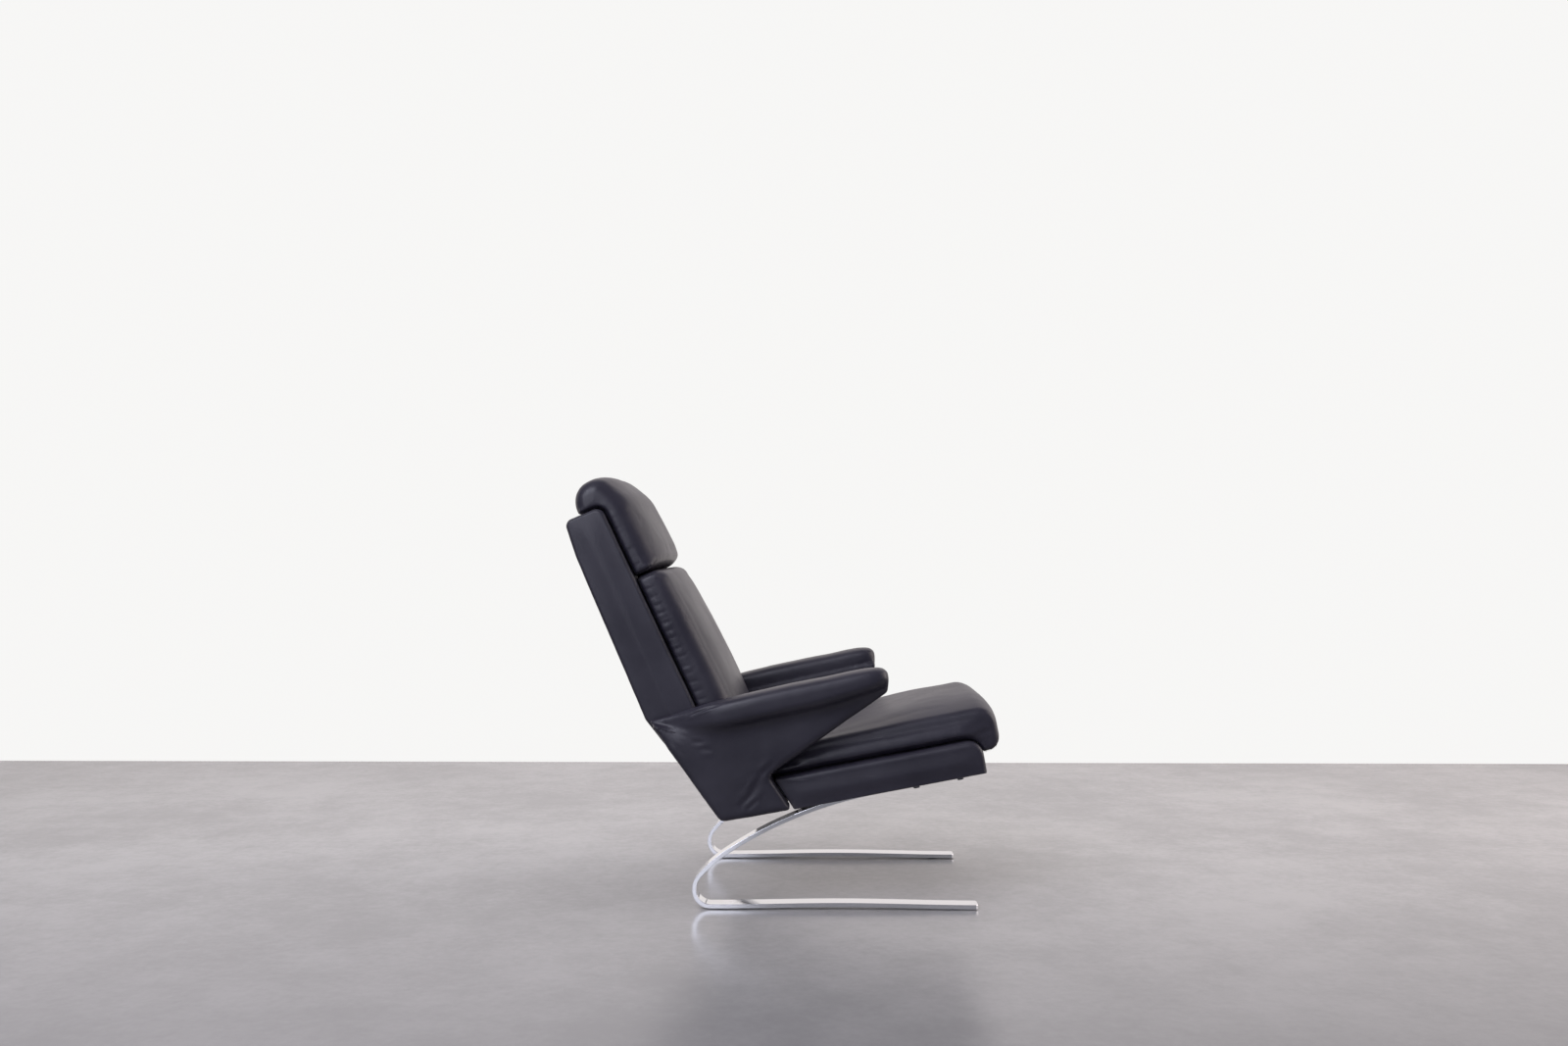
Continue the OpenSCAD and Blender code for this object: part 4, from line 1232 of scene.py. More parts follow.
# Sub-assemblies.
@dataclass
class RunnerPair:
    """Two flat spring-steel bars, each bent back on itself behind the seat."""

    finishes: Finishes
    bar_t: float = 0.010
    rear_x: float = -0.1728
    foot_len: float = 0.621
    foot_arch: float = 0.004
    glide_h: float = 0.002
    arcs: tuple[tuple[float, float], ...] = ((0.038, 90.0), (0.050, 41.5), (0.310, 15.5), (0.980, 22.2))
    end_len: float = 0.250
    tip_cut: float = 0.005
    edge_r: float = 0.0009

    def centre_line(self) -> list[tuple[float, float, float]]:
        """The bar's middle from the foot's tip to the seat, as [x, z, heading in degrees]."""
        rows = []
        for share in np.linspace(1.0, 0.0, 61):
            z = self.glide_h + self.bar_t / 2 + self.foot_arch * math.sin(math.pi * share) ** 2
            slope = self.foot_arch * math.pi * math.sin(2 * math.pi * share) / self.foot_len
            heading = 180.0 + math.degrees(math.atan(slope))
            rows.append((self.rear_x + self.foot_len * share, z, heading))
        at = np.array([self.rear_x, self.glide_h + self.bar_t / 2])
        heading = 180.0
        for r, angle in self.arcs:
            centre = at + polar(r, heading - 90)
            steps = max(10, int(angle * 0.9))
            for k in range(1, steps + 1):
                turned = angle * k / steps
                rows.append((*(centre + polar(r, heading - turned + 90)), heading - turned))
            heading -= angle
            at = centre + polar(r, heading + 90)
        for share in np.linspace(0.0, 1.0, 12)[1:]:
            rows.append((*(at + polar(self.end_len * share, heading)), heading))
        return rows

    def bar(self, side: Side) -> Object:
        """One bar with its cut tip and softened edges."""
        line = self.centre_line()
        cut_at = (self.rear_x + self.foot_len - self.tip_cut, line[0][1], 180.0)
        line = [line[0], cut_at] + [row for row in line[1:]
                                    if row[0] < cut_at[0] - 0.001 or row[1] > 0.02]
        points = []
        for k, (x, z, heading) in enumerate(line):
            half = BAR_W / 2 - (self.tip_cut if k == 0 else 0.0)
            up = polar(self.bar_t / 2, heading + 90)
            points += [(x + lift * up[0], side.value * BAR_Y + y, z + lift * up[1])
                       for lift, y in ((1, -half), (1, half), (-1, half), (-1, -half))]
        last = len(points) - 4
        faces = tube_faces(len(line), 4) + [[0, 1, 2, 3], [last + 3, last + 2, last + 1, last]]
        obj = mesh_object(f"{side.word}_runner", np.array(points), faces)
        smooth_faces(obj)
        return modified(obj, "BEVEL", width=self.edge_r, segments=3, limit_method="ANGLE",
                        angle_limit=math.radians(30), harden_normals=True)

    def build(self) -> None:
        """Both bars."""
        for side in Side:
            obj = self.bar(side)
            nodes = [f"{side.word}_runner_{part}" for part in ("foot", "bend", "arm")]
            dress(obj, self.finishes.by_slot[Slot.CHROME], None, nodes)
            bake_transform(obj)


@dataclass
class SeatBox:
    """The leather-covered skirt and deck under the seat cushion."""

    finishes: Finishes
    length: float = 0.452
    height: float = 0.080
    half: float = 0.300
    wall: float = 0.0072
    rear_run: float = 0.005
    rear_slope: float = 0.038
    bar_end: float = 0.4435
    bar_gap: float = 0.0004

    def form(self) -> Form:
        """The box's outer form."""
        corners = np.array([[-self.rear_run, 0, 0.005], [self.length, 0, 0.005],
                            [self.length, self.height, 0.035],
                            [-self.rear_slope, self.height, 0.005]])
        return Form(SEAT, corners, self.half, 0.013, (self.length / 2, self.height / 2),
                    held=self.turned_in, side_swell=0.003)

    @staticmethod
    def turned_in(rows: Array) -> Array:
        """The lower and rear edges are turned tightly round the frame."""
        return ease((np.maximum(-rows[:, 3], -0.9 * rows[:, 2]) - 0.3) / 0.4)

    def tools(self, form: Form) -> list[Object]:
        """What is cut out of the form: its hollow, its open underside and the bars' recesses."""
        inner = outline(form.corners, self.wall, 0.02, 6)[:, :2]
        reach = self.half - self.wall
        made = [prism("hollow", inner, SEAT, -reach, reach),
                block("underside", SEAT, (self.wall, -reach, -0.02),
                      (self.length - self.wall, reach, self.height / 2))]
        for side in Side:
            y = side.value * BAR_Y
            low, high = y - BAR_W / 2 - self.bar_gap, y + BAR_W / 2 + self.bar_gap
            made.append(block(f"recess_{side.word}", SEAT, (-0.05, low, -0.02),
                              (self.bar_end + self.bar_gap, high, 0.0102)))
        return made

    def build(self) -> None:
        """Form the box and cut it open below."""
        form = self.form()
        obj = form.build("seat_box_leather", spacing=0.007, cap_rings=14)
        uneven(obj, 0.0006, 0.09, 3.1)
        set_share(obj.data, "seam", np.full(len(obj.data.vertices), NO_SEAM))
        mark_wear(obj)
        cut(obj, *self.tools(form))
        smooth_faces(obj, 35)
        dress(obj, self.finishes.by_slot[Slot.LEATHER], Body.SEAT, ["seat_box"])


@dataclass
class Cushion:
    """A loose cushion: leather over a foam core, swelled by its filling.

    Args:
        word: which cushion it is, as the nodes write it
        form: its shape
        fill: not used
        finishes, thread: the shared finishes and stitches
        seed: shifts the pattern of its unevenness
        creases: the creases that it has on a side of the chair
        bare_rear: whether its rear shows
        voxel: size of its faces before they are split
        start_in: how far inside its form the leather starts to swell
        most: how far that may go
    """

    word: str
    form: Form
    fill: float
    finishes: Finishes
    thread: Thread
    seed: float
    creases: Callable[[Side], list[Fold]] = lambda side: []
    bare_rear: bool = False
    voxel: float = 0.0055
    start_in: float = 0.006
    most: float = 0.026

    def swelled(self, obj: Object) -> Array:
        """Where the cushion's leather goes under the pressure of its filling.

        Args:
            obj: the cushion's even mesh

        Returns:
            the places of its points, no further than the most from where they started
        """
        start = points_of(obj.data) - normals_of(obj.data) * self.start_in
        trial = new_object(f"{self.word}_trial", obj.data.copy())
        set_points(trial.data, start)
        cloth = trial.modifiers.new("Leather", "CLOTH")
        for key, value in {"quality": 4, "mass": 0.35, "tension_stiffness": 22,
                           "compression_stiffness": 14, "shear_stiffness": 9,
                           "bending_stiffness": 0.9, "use_pressure": True,
                           "uniform_pressure_force": 4.0, "shrink_min": -0.004}.items():
            setattr(cloth.settings, key, value)
        cloth.settings.effector_weights.gravity = 0.0
        cloth.collision_settings.use_collision = False
        cloth.point_cache.frame_start = 1
        cloth.point_cache.frame_end = 20
        scene = bpy.context.scene
        for step in range(1, 21):
            scene.frame_set(step)
        settle(trial)
        move = points_of(trial.data) - start
        scene.frame_set(1)
        remove(trial)
        size = np.linalg.norm(move, axis=1, keepdims=True)
        return start + move * np.minimum(1.0, self.most / (size + 1e-9))

    def settled(self, obj: Object, swelled: Array) -> None:
        """Keep the swelled leather where the cushion has room for it.

        Args:
            obj: the cushion
            swelled: where the filling pushes its points
        """
        start, normals = points_of(obj.data), normals_of(obj.data)
        own = normals[:, [0, 2]] @ self.form.axes.matrix().T
        bare = np.maximum(own[:, 0], own[:, 1])
        if self.bare_rear:
            bare = np.maximum(bare, -own[:, 0])
        bare = ease((bare - 0.2) / 0.4)
        rise = np.einsum("ij,ij->i", swelled - start, normals)
        fine = (rise - np.median(rise[bare > 0.9])) * 0.3
        kept = np.clip(fine, -0.0015, 0.002) * bare + np.clip(fine, -0.0012, 0.0) * (1 - bare)
        set_points(obj.data, start + normals * kept[:, None])

    def build(self) -> None:
        """Form, swell, sew and dress the cushion."""
        obj = self.form.build(f"{self.word}_cushion_leather", spacing=0.005, cap_rings=12)
        remesh(obj, self.voxel)
        self.settled(obj, self.swelled(obj))
        subdivide(obj)
        uneven(obj, 0.0009, 0.085, self.seed)
        for side in Side:
            fold(obj, self.form.axes, self.creases(side), side.value)
        seams = [Seam(path, closed=False, depth=0.0011, gather=0.0011, reach=0.016)
                 for path in self.form.rim_seams()]
        self.thread.add(sew(obj, seams))
        mark_wear(obj)
        smooth_faces(obj)
        dress(obj, self.finishes.by_slot[Slot.LEATHER], Body.SEAT,
              [f"{self.word}_cushion_cover"])


def crown_share(t: float) -> float:
    """How much of a crown is left at a place from -1 to 1 across a cushion."""
    return 1.0 - abs(t) ** 4


def held_below_and_behind(rows: Array) -> Array:
    """Faces that look down or rearwards are pressed on a neighbour."""
    return ease((np.maximum(-rows[:, 2], -rows[:, 3]) - 0.35) / 0.4)


def held_all_round(rows: Array) -> Array:
    """The back cushion is also pressed on the head cushion above it."""
    return np.maximum(held_below_and_behind(rows), 0.7 * ease((rows[:, 3] - 0.5) / 0.3))


def held_by_shell(rows: Array) -> Array:
    """The head cushion is pressed on the shell and on the back cushion, but its rear is free."""
    return held_below_and_behind(rows) * ease((0.735 - rows[:, 1]) / 0.012)


def panel_front_at(u: Array) -> Array:
    """Height of the side panels' front edge at a place along the seat."""
    return np.interp(u, (-0.046, 0.258), (0.092, 0.231))


def clear_of_panels(own: Array) -> Array:
    """Where the seat cushion's sides are out from between the panels, below its top and lip."""
    clear = ease((panel_front_at(own[:, 0]) - own[:, 1]) / 0.024)
    return clear * ease((0.142 - own[:, 1]) / 0.042) * ease((0.478 - own[:, 0]) / 0.075)


def above_arms(own: Array) -> Array:
    """Where the back cushion's sides have come out from between the arms."""
    return ease((own[:, 1] - 0.23) / 0.06)


def seat_top_at(n: Array) -> Array:
    """Where the seat cushion's top lies in the back's axes, in millimetres."""
    a = math.radians(RECLINE)
    return (SEAT_TOP + GAP - BOX_TOP) / math.cos(a) - n * math.tan(a)


def seat_lift(rows: Array, t: float) -> Array:
    """The seat cushion's top swells towards the front, and so does the face of its lip."""
    up = np.maximum(0, rows[:, 3]) * ease((rows[:, 0] + 0.045) / 0.445)
    front = np.maximum(0, rows[:, 2]) * ease((rows[:, 0] - 0.452) / 0.045)
    return np.column_stack([0.0127 * front, 0.028 * up]) * crown_share(t)


def back_lift(rows: Array, t: float) -> Array:
    """The back cushion's face swells most in its middle."""
    foot = seat_top_at(rows[:, 0] * 1000) / 1000
    share = np.clip((rows[:, 1] - foot) / (0.5355 - foot), 0, 1)
    swell = 0.55 + 0.45 * np.sin(np.pi * share)
    return np.column_stack([0.026 * np.maximum(0, rows[:, 2]) * swell,
                            np.zeros(len(rows))]) * crown_share(t)


def head_lift(rows: Array, t: float) -> Array:
    """The head cushion swells forwards and upwards."""
    return np.column_stack([0.030 * np.maximum(0, rows[:, 2]),
                            0.013 * np.maximum(0, rows[:, 3])]) * crown_share(t)


def cushion_forms() -> tuple[Form, Form, Form]:
    """The seat cushion, whose lip hangs over the box, the back's and the head's."""
    half = 0.274
    a = math.radians(RECLINE)
    low = GAP * math.cos(a) - GAP * math.sin(a) + BACK_FOOT
    rise = (SEAT_TOP - BOX_TOP) / math.cos(a) - GAP * math.tan(a)
    high = GAP * math.cos(a) - rise * math.sin(a) + BACK_FOOT
    seat = Form(
        SEAT, mm([[low, BOX_TOP + GAP, 10], [452.3, BOX_TOP + GAP, 35.2], [452.3, 44.8, 0.4],
                  [497, 49.5, 29], [497, SEAT_TOP, 41], [high, SEAT_TOP, 14]]),
        half, 0.014, (0.4745, 0.1133), seat_lift, held=held_below_and_behind, held_share=0.10,
        side_swell=0.014, swell_reach=0.015, swell_where=clear_of_panels)
    back = Form(
        BACK, mm([[GAP, seat_top_at(GAP), 10], [74, seat_top_at(74.0), 22], [66, 535.5, 32],
                  [GAP, 535.5, 8]]),
        half, 0.030, (0.035, 0.2665), back_lift, held=held_all_round, side_swell=0.004,
        swell_reach=0.030, swell_where=above_arms)
    head = Form(
        BACK, mm([[GAP, 537, 8], [56, 537, 22], [50, 714, 90], [16, 786, 30], [-61, 786, 50],
                  [-61, 724.3, 8], [GAP, 720.3, 20.3]]),
        half, 0.030, (0.012, 0.7533), head_lift, held=held_by_shell, side_swell=0.006,
        swell_reach=0.045)
    return seat, back, head


def lip_pulls(side: Side) -> list[Fold]:
    """Soft pulls from the corners of the seat cushion's lip."""
    return [Fold((410, 100), (472, 120), 0.8, 8), Fold((432, 88), (484, 94), 0.7, 6)]


def side_gathers(side: Side) -> list[Fold]:
    """Small gathers down the back cushion's sides, where the shell holds it."""
    rows = []
    for k in range(17):
        h = 150 + k * 22 + 7 * noise.noise(Vector((k * 3.1, side.value, 0.5)))
        size = 1.0 + 0.6 * noise.noise(Vector((k * 1.7, 4.0 + side.value, 0.2)))
        rows.append(Fold((0, h), (26 + 8 * size, h - 5), 0.55 * size, 4.0, 0.8))
    return rows


@dataclass
class BackShell:
    """The leather-covered back, lower and deeper behind the arms."""

    finishes: Finishes
    half: float = 0.290
    low_half: float = 0.2757
    wall: float = 0.010

    def form(self) -> Form:
        """The shell's outer form."""
        knee, step, foot = BACK.own(SEAT.out(mm([[-11, 8], [-48, 80], [-173, 10]]))) * 1000
        corners = mm([[*knee, 8], [*step, 8], [0, 0, 12], [0, 720, 20], [-92, 724, 18],
                      [-103, 640, 60], [-118, 225, 40], [*foot, 18]])
        return Form(BACK, corners, self.half, 0.008, (-0.0393, -0.020), side_swell=0.0065,
                    swell_reach=0.066)

    def tools(self, form: Form, panel: Form) -> list[Object]:
        """What is cut out: its hollow, the window behind the cushions and the side units' places.

        Args:
            form: the shell's form
            panel: the side panels' form

        Returns:
            the tools
        """
        reach = self.low_half - self.wall
        inner = outline(form.corners, self.wall, 0.03, 6)[:, :2]
        made = [prism("hollow", inner, BACK, -reach, reach),
                block("window", BACK, (-self.wall - 0.02, -0.205, 0.07), (0.02, 0.205, 0.64))]
        edge = outline(panel.corners, -0.0006, 0.03, 6)[:, :2]
        for side in Side:
            ends = sorted((side.value * self.low_half, side.value * 0.32))
            made.append(prism(f"place_{side.word}", edge, SEAT, *ends))
        return made

    def build(self, panel: Form) -> None:
        """Form the shell, sew it and cut it to the side units.

        Args:
            panel: the side panels' form
        """
        form = self.form()
        obj = form.build("back_shell_leather", spacing=0.009, cap_rings=30)
        uneven(obj, 0.0008, 0.13, 8.4)
        sew(obj, [Seam(path, depth=0.0007, gather=0.0004) for path in form.rim_seams()])
        mark_wear(obj)
        cut(obj, *self.tools(form, panel))
        smooth_faces(obj, 35)
        dress(obj, self.finishes.by_slot[Slot.LEATHER], Body.SEAT, ["back_shell"])


# The arm pad's sections: share of its length, then its underside, top, outer and inner shares.
PAD_ROWS = np.array((
    (0.00, 0.62, 0.70, 0.34, 0.20), (0.10, 0.00, 0.80, 0.52, 0.20), (0.19, 0.00, 0.93, 0.74, 0.20),
    (0.28, 0.00, 1.00, 0.90, 0.04), (0.42, 0.00, 1.06, 1.00, 0.02), (0.60, 0.00, 1.06, 1.00, 0.02),
    (0.78, 0.00, 1.02, 1.00, 0.02), (0.90, 0.00, 1.00, 0.99, 0.02), (0.955, 0.00, 0.93, 0.94, 0.04),
    (0.985, 0.03, 0.80, 0.84, 0.12), (1.00, 0.12, 0.60, 0.68, 0.26)))

# The side units' folds: start, end, depth, half width and the share that is left at the start.
# First the pulls that fan out from the tail, then those over it, then the dents along the front.
SIDE_FOLDS = (
    ((-278, 256), (-176, 250), 0.4, 6, 0.9), ((-276, 250), (-196, 232), 0.5, 6, 0.9),
    ((-272, 243), (-212, 216), 0.5, 5, 0.9), ((-268, 236), (-220, 204), 0.45, 5, 0.9),
    ((-262, 226), (-226, 190), 0.4, 5, 0.8), ((-256, 214), (-226, 176), 0.35, 5, 0.6),
    ((-206, 204), (-176, 196), 1.0, 5), ((-192, 186), (-160, 176), 0.9, 6),
    ((-128, 34), (-62, 84), 1.4, 7), ((-112, 26), (-80, 46), 1.0, 5),
    ((-70, 96), (-22, 124), 1.2, 7), ((-96, 66), (-64, 96), 1.0, 6))


@dataclass
class SideUnit:
    """A side panel and the arm pad on it, under one leather skin."""

    side: Side
    finishes: Finishes
    inner: float = 0.276
    outer: float = 0.334
    reach: float = 0.365
    tail_u: float = -0.295
    front_u: float = 0.267
    under_rear: float = 0.233434
    under_front: float = 0.250
    pad_h: float = 0.045
    pad_sides: int = 72
    power: float = 0.6
    voxel: float = 0.0048

    def panel_form(self) -> Form:
        """The panel's form, on the left side."""
        corners = mm([[-9, 6, 5], [-46, 92, 13], [258, 231, 12], [265, 249.7, 3],
                      [-235, 233.134, 22], [-295, 262, 4], [-175, 8, 18]])
        return Form(SEAT, corners, self.outer, 0.014, (-0.1475, 0.131), inner=self.inner)

    def mirrored(self, obj: Object) -> None:
        """Move a piece that was made for the left side to this side."""
        if self.side is Side.RIGHT:
            set_points(obj.data, points_of(obj.data) * (1, -1, 1))
            obj.data.flip_normals()

    def pad_section(self, share: float) -> Array:
        """The pad's section at a share of its length, as underside, top, outer and inner shares."""
        last = len(PAD_ROWS) - 1
        k = int(np.clip(np.searchsorted(PAD_ROWS[:, 0], share) - 1, 0, last - 1))
        p0, p1, p2, p3 = (PAD_ROWS[np.clip(k + d, 0, last)] for d in (-1, 0, 1, 2))
        t = (share - p1[0]) / (p2[0] - p1[0])
        w = p2[0] - p1[0]
        m1 = (p2 - p0) / (p2[0] - p0[0]) * w
        m2 = (p3 - p1) / (p3[0] - p1[0]) * w
        return ((2 * t**3 - 3 * t**2 + 1) * p1 + (t**3 - 2 * t**2 + t) * m1
                + (-2 * t**3 + 3 * t**2) * p2 + (t**3 - t**2) * m2)[1:]

    def under(self, u: Array) -> Array:
        """Height of the pads' underside at a place along the arm."""
        share = (u - self.tail_u) / (self.front_u - self.tail_u)
        return self.under_rear + (self.under_front - self.under_rear) * share

    def overlap(self, share: Array) -> Array:
        """How far the pad's roll reaches down over the panel, at a share of its length."""
        return np.interp(share, (0.0, 0.12, 0.3, 0.72, 0.9, 1.0),
                         (0.002, 0.008, 0.019, 0.019, 0.011, 0.004))

    def pad_ring(self, share: float) -> Array:
        """One section of the pad as [x, y, z] points, on the left side."""
        low, top, out, inn = self.pad_section(share)
        u = self.tail_u + (self.front_u - self.tail_u) * share
        base = self.under(u)
        width = self.reach - self.inner
        v0, v1 = base + self.pad_h * low - self.overlap(share), base + self.pad_h * top
        y0, y1 = self.inner + width * inn, self.inner + width * out
        a = np.linspace(0, 2 * np.pi, self.pad_sides, endpoint=False)
        c, s = np.cos(a), np.sin(a)
        y = (y0 + y1) / 2 + (y1 - y0) / 2 * np.sign(c) * np.abs(c) ** self.power
        v = (v0 + v1) / 2 + (v1 - v0) / 2 * np.sign(s) * np.abs(s) ** self.power
        return SEAT.across(np.column_stack([np.full(len(v), u), v]), y)

    def pad_form(self) -> Object:
        """The arm pad's own form, cut to the back."""
        shares = np.unique(np.concatenate([np.linspace(0, 1, 90), 1 - np.geomspace(0.002, 0.06, 14)]))
        rings = [self.pad_ring(float(s)) for s in shares]
        pad = mesh_object("pad_form", *closed_tube(rings, [rings[0].mean(0), rings[-1].mean(0)]))
        cut(pad, block("back_place", SEAT, (-0.330, 0.256, 0.20), (-0.136, 0.2906, 0.40)))
        return pad

    def free_to_blend(self, points: Array) -> Array:
        """Where the skin may leave the two forms: along the valley between them."""
        own = SEAT.own(points)
        share = (own[:, 0] - self.tail_u) / (self.front_u - self.tail_u)
        off = own[:, 1] - self.under(own[:, 0]) + self.overlap(share)
        valley = ease((off + 0.034) / 0.020) * ease((0.020 - off) / 0.014)
        away = ease((points[:, 1] - self.inner - 0.010) / 0.015)
        behind = own[:, 1] - panel_front_at(own[:, 0])
        return np.clip(valley * away * ease((behind - 0.006) / 0.022), 0, 1)

    def tail_seam(self) -> Seam:
        """The sewn line round the tail, with its gathers."""
        edge = self.panel_form().ring(self.outer - 0.0035, 0.0035, 0.004)
        own = SEAT.own(edge)
        tail = edge[(own[:, 0] < -0.15) & (own[:, 1] > self.under(own[:, 0]) - 0.004)]
        return Seam(tail, closed=False, depth=0.0010, gather=0.0009, reach=0.014)

    def build(self) -> None:
        """Draw panel and pad into one skin, crease it and dress it."""
        obj = self.panel_form().build(f"{self.side.word}_side_unit_leather", spacing=0.006)
        join(obj, self.pad_form())
        remesh(obj, self.voxel, self.free_to_blend, 34)
        subdivide(obj)
        uneven(obj, 0.0009, 0.075, 12.0 if self.side is Side.RIGHT else 17.0)
        fold(obj, SEAT, [Fold(*row) for row in SIDE_FOLDS])
        fold(obj, SEAT, [Fold((-200 + 9 * k, 262 + 3 * k), (-168 + 11 * k, 272 + k), 1.1, 2.4, 0.3)
                         for k in range(5)])
        sew(obj, [self.tail_seam()])
        mark_wear(obj)
        self.mirrored(obj)
        smooth_faces(obj)
        dress(obj, self.finishes.by_slot[Slot.LEATHER], Body.SEAT,
              [f"{self.side.word}_side_panel", f"{self.side.word}_arm_pad"])


@dataclass
class Fasteners:
    """Bolts under the seat and the staples that hold the bottom cloth."""

    finishes: Finishes
    shaft_r: float = 0.004
    head_r: float = 0.0075
    head_h: float = 0.005
    washer_t: float = 0.0015
    top_v: float = 0.048
    socket_r: float = 0.00375
    socket_h: float = 0.003
    sides: int = 36
    places_u: tuple[float, ...] = (0.3895, 0.2855)
    cloth_half: float = 0.240
    cloth_u: tuple[float, float] = (0.014, 0.438)
    cloth_v: float = 0.0086

    def pattern(self) -> Object:
        """One bolt with a hexagon socket and a washer, pointing up from the seat's underside."""
        rim, face = self.head_r + self.washer_t, -self.washer_t - self.head_h
        rows = [(self.shaft_r - 0.0006, self.top_v), (self.shaft_r, self.top_v - 0.0006),
                (self.shaft_r, 0.0), (rim, 0.0), (rim, -self.washer_t),
                (self.head_r, -self.washer_t), (self.head_r, face + 0.0008),
                (self.head_r - 0.0008, face)]
        turns = [2 * math.pi * k / self.sides for k in range(self.sides)]
        points = [(r * math.cos(a), r * math.sin(a), z) for r, z in rows for a in turns]
        sixth = math.pi / 3
        for z in (face, face + self.socket_h):
            for a in turns:
                r = self.socket_r * math.cos(sixth / 2) / math.cos((a % sixth) - sixth / 2)
                points.append((r * math.cos(a), r * math.sin(a), z))
        rings = len(points) // self.sides
        faces = tube_faces(rings, self.sides)
        faces += [list(range(self.sides)), list(range((rings - 1) * self.sides, rings * self.sides))]
        return mesh_object("bolt_pattern", np.array(points), faces)

    def bolts(self) -> None:
        """Four bolts set from one pattern."""
        pattern = self.pattern()
        smooth_faces(pattern, 30)
        places = [SEAT.across([[u, 0.0]], side.value * BAR_Y)[0]
                  for side in Side for u in self.places_u]
        bolt = self.finishes.black_bolt
        obj = run_tree(wire_object("runner_bolt_set", places), copies_tree("bolts_in_place", bolt),
                       {"Pattern": pattern, "Turn": (0.0, math.radians(-SEAT.degrees), 0.0)})
        remove(pattern)
        dress(obj, bolt, Body.SEAT, ["runner_bolts"])

    def staples(self) -> None:
        """Wire staples round the bottom cloth."""
        low, high = self.cloth_u
        half = self.cloth_half
        own = [[u, self.cloth_v] for u in (low, high, high, low)]
        path = SEAT.across(own, (-half, -half, half, half))
        wire = wire_object("bottom_cloth_staples", path, [(0, 1), (1, 2), (2, 3), (3, 0)])
        plated = self.finishes.by_slot[Slot.HARDWARE]
        obj = run_tree(wire, stitch_tree(plated), {"Pitch": 0.034, "Length": 0.011,
                                                   "Thickness": 0.0012, "Scatter": 0.05, "Seed": 3})
        dress(obj, plated, Body.SEAT)

    def build(self) -> None:
        """Bolts and staples."""
        self.bolts()
        self.staples()


@dataclass
class InnerWorks:
    """The solids that stay as they are and only get their finishes."""

    finishes: Finishes

    def build(self) -> None:
        """Dress every solid from its slot in the record."""
        for part in frame["record"]["subparts"]:
            obj = frame["nodes"][part["node"]]
            material = self.finishes.by_slot[Slot(part["material_slot"])]
            for slot in obj.material_slots:
                slot.link = "OBJECT"
                slot.material = material
            log.info("%s: solid in %s", part["node"], material.name)


@dataclass(frozen=True)
class Lamp:
    """A soft lamp.

    Args:
        name: its name
        place, aim: where it is and where it looks
        size: its width and height
        power: its power in watts
        colour: its colour
        glossy: whether it is seen in polished and satin surfaces
    """

    name: str
    place: Place
    aim: Place
    size: tuple[float, float]
    power: float
    colour: Place
    glossy: bool = True

    def hang(self) -> None:
        """Put the lamp into the scene."""
        data = bpy.data.lights.new(self.name, "AREA")
        data.shape = "RECTANGLE"
        data.size, data.size_y = self.size
        data.energy = self.power
        data.color = self.colour
        obj = new_object(self.name, data)
        obj.location = self.place
        way = Vector(self.aim) - Vector(self.place)
        obj.rotation_euler = way.to_track_quat("-Z", "Y").to_euler()
        obj.visible_glossy = self.glossy


LAMPS = (
    Lamp("front_window", (3.4, 0.2, 1.7), (0.0, 0.0, 0.6), (2.6, 2.2), 52.0, (1.0, 0.90, 0.86)),
    Lamp("ceiling_glow", (-0.3, 0.3, 3.6), (-0.2, 0.3, 0.0), (4.5, 4.5), 140.0, (1.0, 0.985, 0.98),
         glossy=False),
    Lamp("side_window", (-1.8, -2.8, 3.0), (0.0, 0.0, 0.6), (2.6, 2.0), 88.0, (0.86, 0.87, 1.0)),
    Lamp("room_window", (-1.7, -4.6, 1.5), (0.0, 0.0, 0.8), (3.0, 1.4), 42.0, (0.87, 0.88, 1.0)))


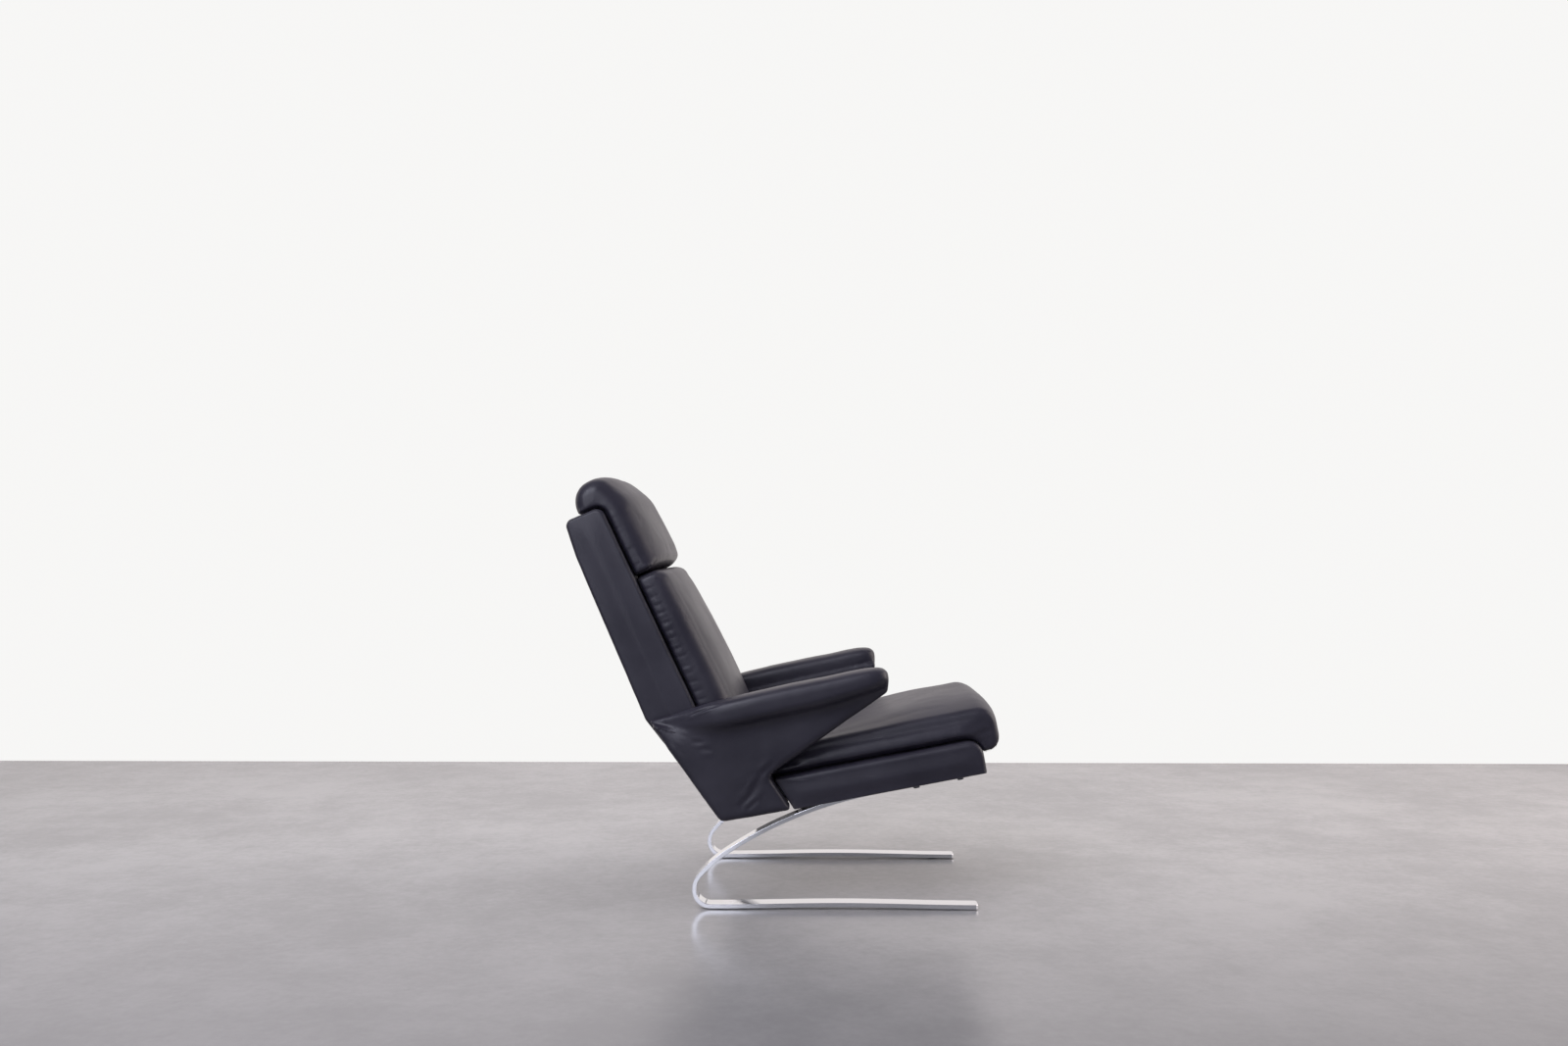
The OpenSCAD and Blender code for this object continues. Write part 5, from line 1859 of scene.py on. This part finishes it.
@dataclass
class Studio:
    """A pale floor that ends at a white wall, soft lamps and the photograph's camera."""

    wall_y: float = 1.95
    floor_dark: Place = (0.27, 0.266, 0.27)
    floor_pale: Place = (0.40, 0.39, 0.395)
    # painted shade: the floor's colour near the camera, darker than the rest of the floor
    floor_near: Place = (0.15, 0.148, 0.155)
    wall_paint: Place = (0.62, 0.62, 0.61)
    wall_in_metal: Place = (0.96, 0.90, 0.89)
    white: Place = (1.0, 0.995, 0.985)
    glow: float = 0.93
    room_low: Place = (0.84, 0.86, 1.0)
    room_high: Place = (0.42, 0.43, 0.48)
    room_strength: float = 0.14
    room_sheen: float = 0.30
    lens: float = 32.625
    place: Place = (0.04351146, -3.60154668, 0.84452322)
    pitch: float = math.atan(23 / 1450)
    yaw: float = math.asin(20 / math.hypot(20, 23, 1450))

    def floor_material(self) -> Material:
        """A pale, clouded, slightly glossy floor that takes the shadow, with painted shade that darkens
        it towards the camera.
        """
        f = Bench("studio_floor")
        cloud, patch, grit = (f.noise(f.place, *values) for values in (
            (1.3, 6.0, 0.62), (7.0, 6.0, 0.68), (46.0, 5.0, 0.7)))
        share = f.add(f.times(cloud, 0.52), f.add(f.times(patch, 0.28), f.times(grit, 0.20)))
        paint = f.blend(f.ramp(share, 0.38, 0.63), self.floor_dark, self.floor_pale)
        # painted shade: the floor blends into the darker near colour towards the camera
        near = f.ramp(f.axis(f.place, "Y"), -2.4, 0.9)
        f.shade(f.blend(near, self.floor_near, paint), 0.24, Specular_IOR_Level=0.5)
        return f.material

    def wall_material(self) -> Material:
        """A wall that is white to the eye and to metal, plain to the light and clear from behind."""
        f = Bench("studio_wall")
        f.shade(self.wall_paint, 0.9, Specular_IOR_Level=0.1)
        rays = f.node("LightPath").outputs
        paint = f.blend(rays["Is Camera Ray"], self.wall_in_metal, self.white)
        white = f.node("Emission", {"Color": paint, "Strength": self.glow})
        seen = f.math("MAXIMUM", rays["Is Camera Ray"],
                      f.math("MAXIMUM", rays["Is Glossy Ray"], rays["Is Transmission Ray"]))
        front = f.node("MixShader", {0: seen, 1: f.shader.outputs[0], 2: white.outputs[0]})
        behind = f.node("NewGeometry").outputs["Backfacing"]
        clear = f.node("BsdfTransparent")
        mix = f.node("MixShader", {0: behind, 1: front.outputs[0], 2: clear.outputs[0]})
        f.put(f.surface, mix.outputs[0])
        return f.material

    def sheet(self, corners: Sequence[Place], material: Material) -> None:
        """A flat sheet of the stage, named for its material."""
        mesh = bpy.data.meshes.new(material.name)
        mesh.from_pydata(list(corners), [], [list(range(len(corners)))])
        mesh.materials.append(material)
        new_object(material.name, mesh)

    def backdrop(self) -> None:
        """The floor, and the wall that stands behind the chair."""
        y = self.wall_y
        self.sheet([(-9, -7, 0), (9, -7, 0), (9, y, 0), (-9, y, 0)], self.floor_material())
        self.sheet([(-9, y, -0.01), (9, y, -0.01), (9, y, 5), (-9, y, 5)], self.wall_material())

    def world(self) -> None:
        """The light of a pale room, darker towards its ceiling."""
        world = bpy.data.worlds.new("studio_world")
        world.use_nodes = True
        net = Net(world.node_tree)
        rays = net.node("LightPath").outputs
        up = net.axis(net.node("TexCoord").outputs["Generated"], "Z")
        room = net.blend(net.ramp(up, -0.05, 0.75), self.room_low, self.room_high)
        strength = net.add(self.room_strength, net.times(rays["Is Glossy Ray"], self.room_sheen))
        light = net.node("Background", {"Color": room, "Strength": strength})
        seen = net.node("Background", {"Color": self.white, "Strength": self.glow})
        mix = net.node("MixShader", {0: rays["Is Camera Ray"], 1: light.outputs[0],
                                     2: seen.outputs[0]})
        net.node("OutputWorld", {"Surface": mix.outputs[0]})
        bpy.context.scene.world = world

    def camera(self) -> None:
        """The camera of the photograph."""
        data = bpy.data.cameras.new("photo_camera")
        data.lens = self.lens
        data.sensor_width = 36.0
        obj = new_object("photo_camera", data)
        obj.location = self.place
        obj.rotation_euler = (math.radians(90) + self.pitch, 0.0, self.yaw)
        bpy.context.scene.camera = obj

    def build(self) -> None:
        """Set up the whole studio."""
        self.backdrop()
        self.world()
        for lamp in LAMPS:
            lamp.hang()
        self.camera()
        bpy.context.scene.view_settings.view_transform = "Standard"


def main() -> None:
    """Build the chair, its finishes and the studio."""
    logging.basicConfig(level=logging.INFO, format="%(name)s: %(message)s")
    finishes = Finishes()
    thread = Thread(finishes.thread)
    Studio().build()
    InnerWorks(finishes).build()
    RunnerPair(finishes).build()
    SeatBox(finishes).build()
    units = [SideUnit(side, finishes) for side in Side]
    BackShell(finishes).build(units[0].panel_form())
    for unit in units:
        unit.build()
    seat, back, head = cushion_forms()
    Cushion("seat", seat, 0.75, finishes, thread, 31.0, lip_pulls).build()
    Cushion("back", back, 0.7, finishes, thread, 37.0, side_gathers).build()
    Cushion("head", head, 0.7, finishes, thread, 43.0, bare_rear=True).build()
    thread.make("seam_stitches")
    Fasteners(finishes).build()


if __name__ == "__main__":
    main()
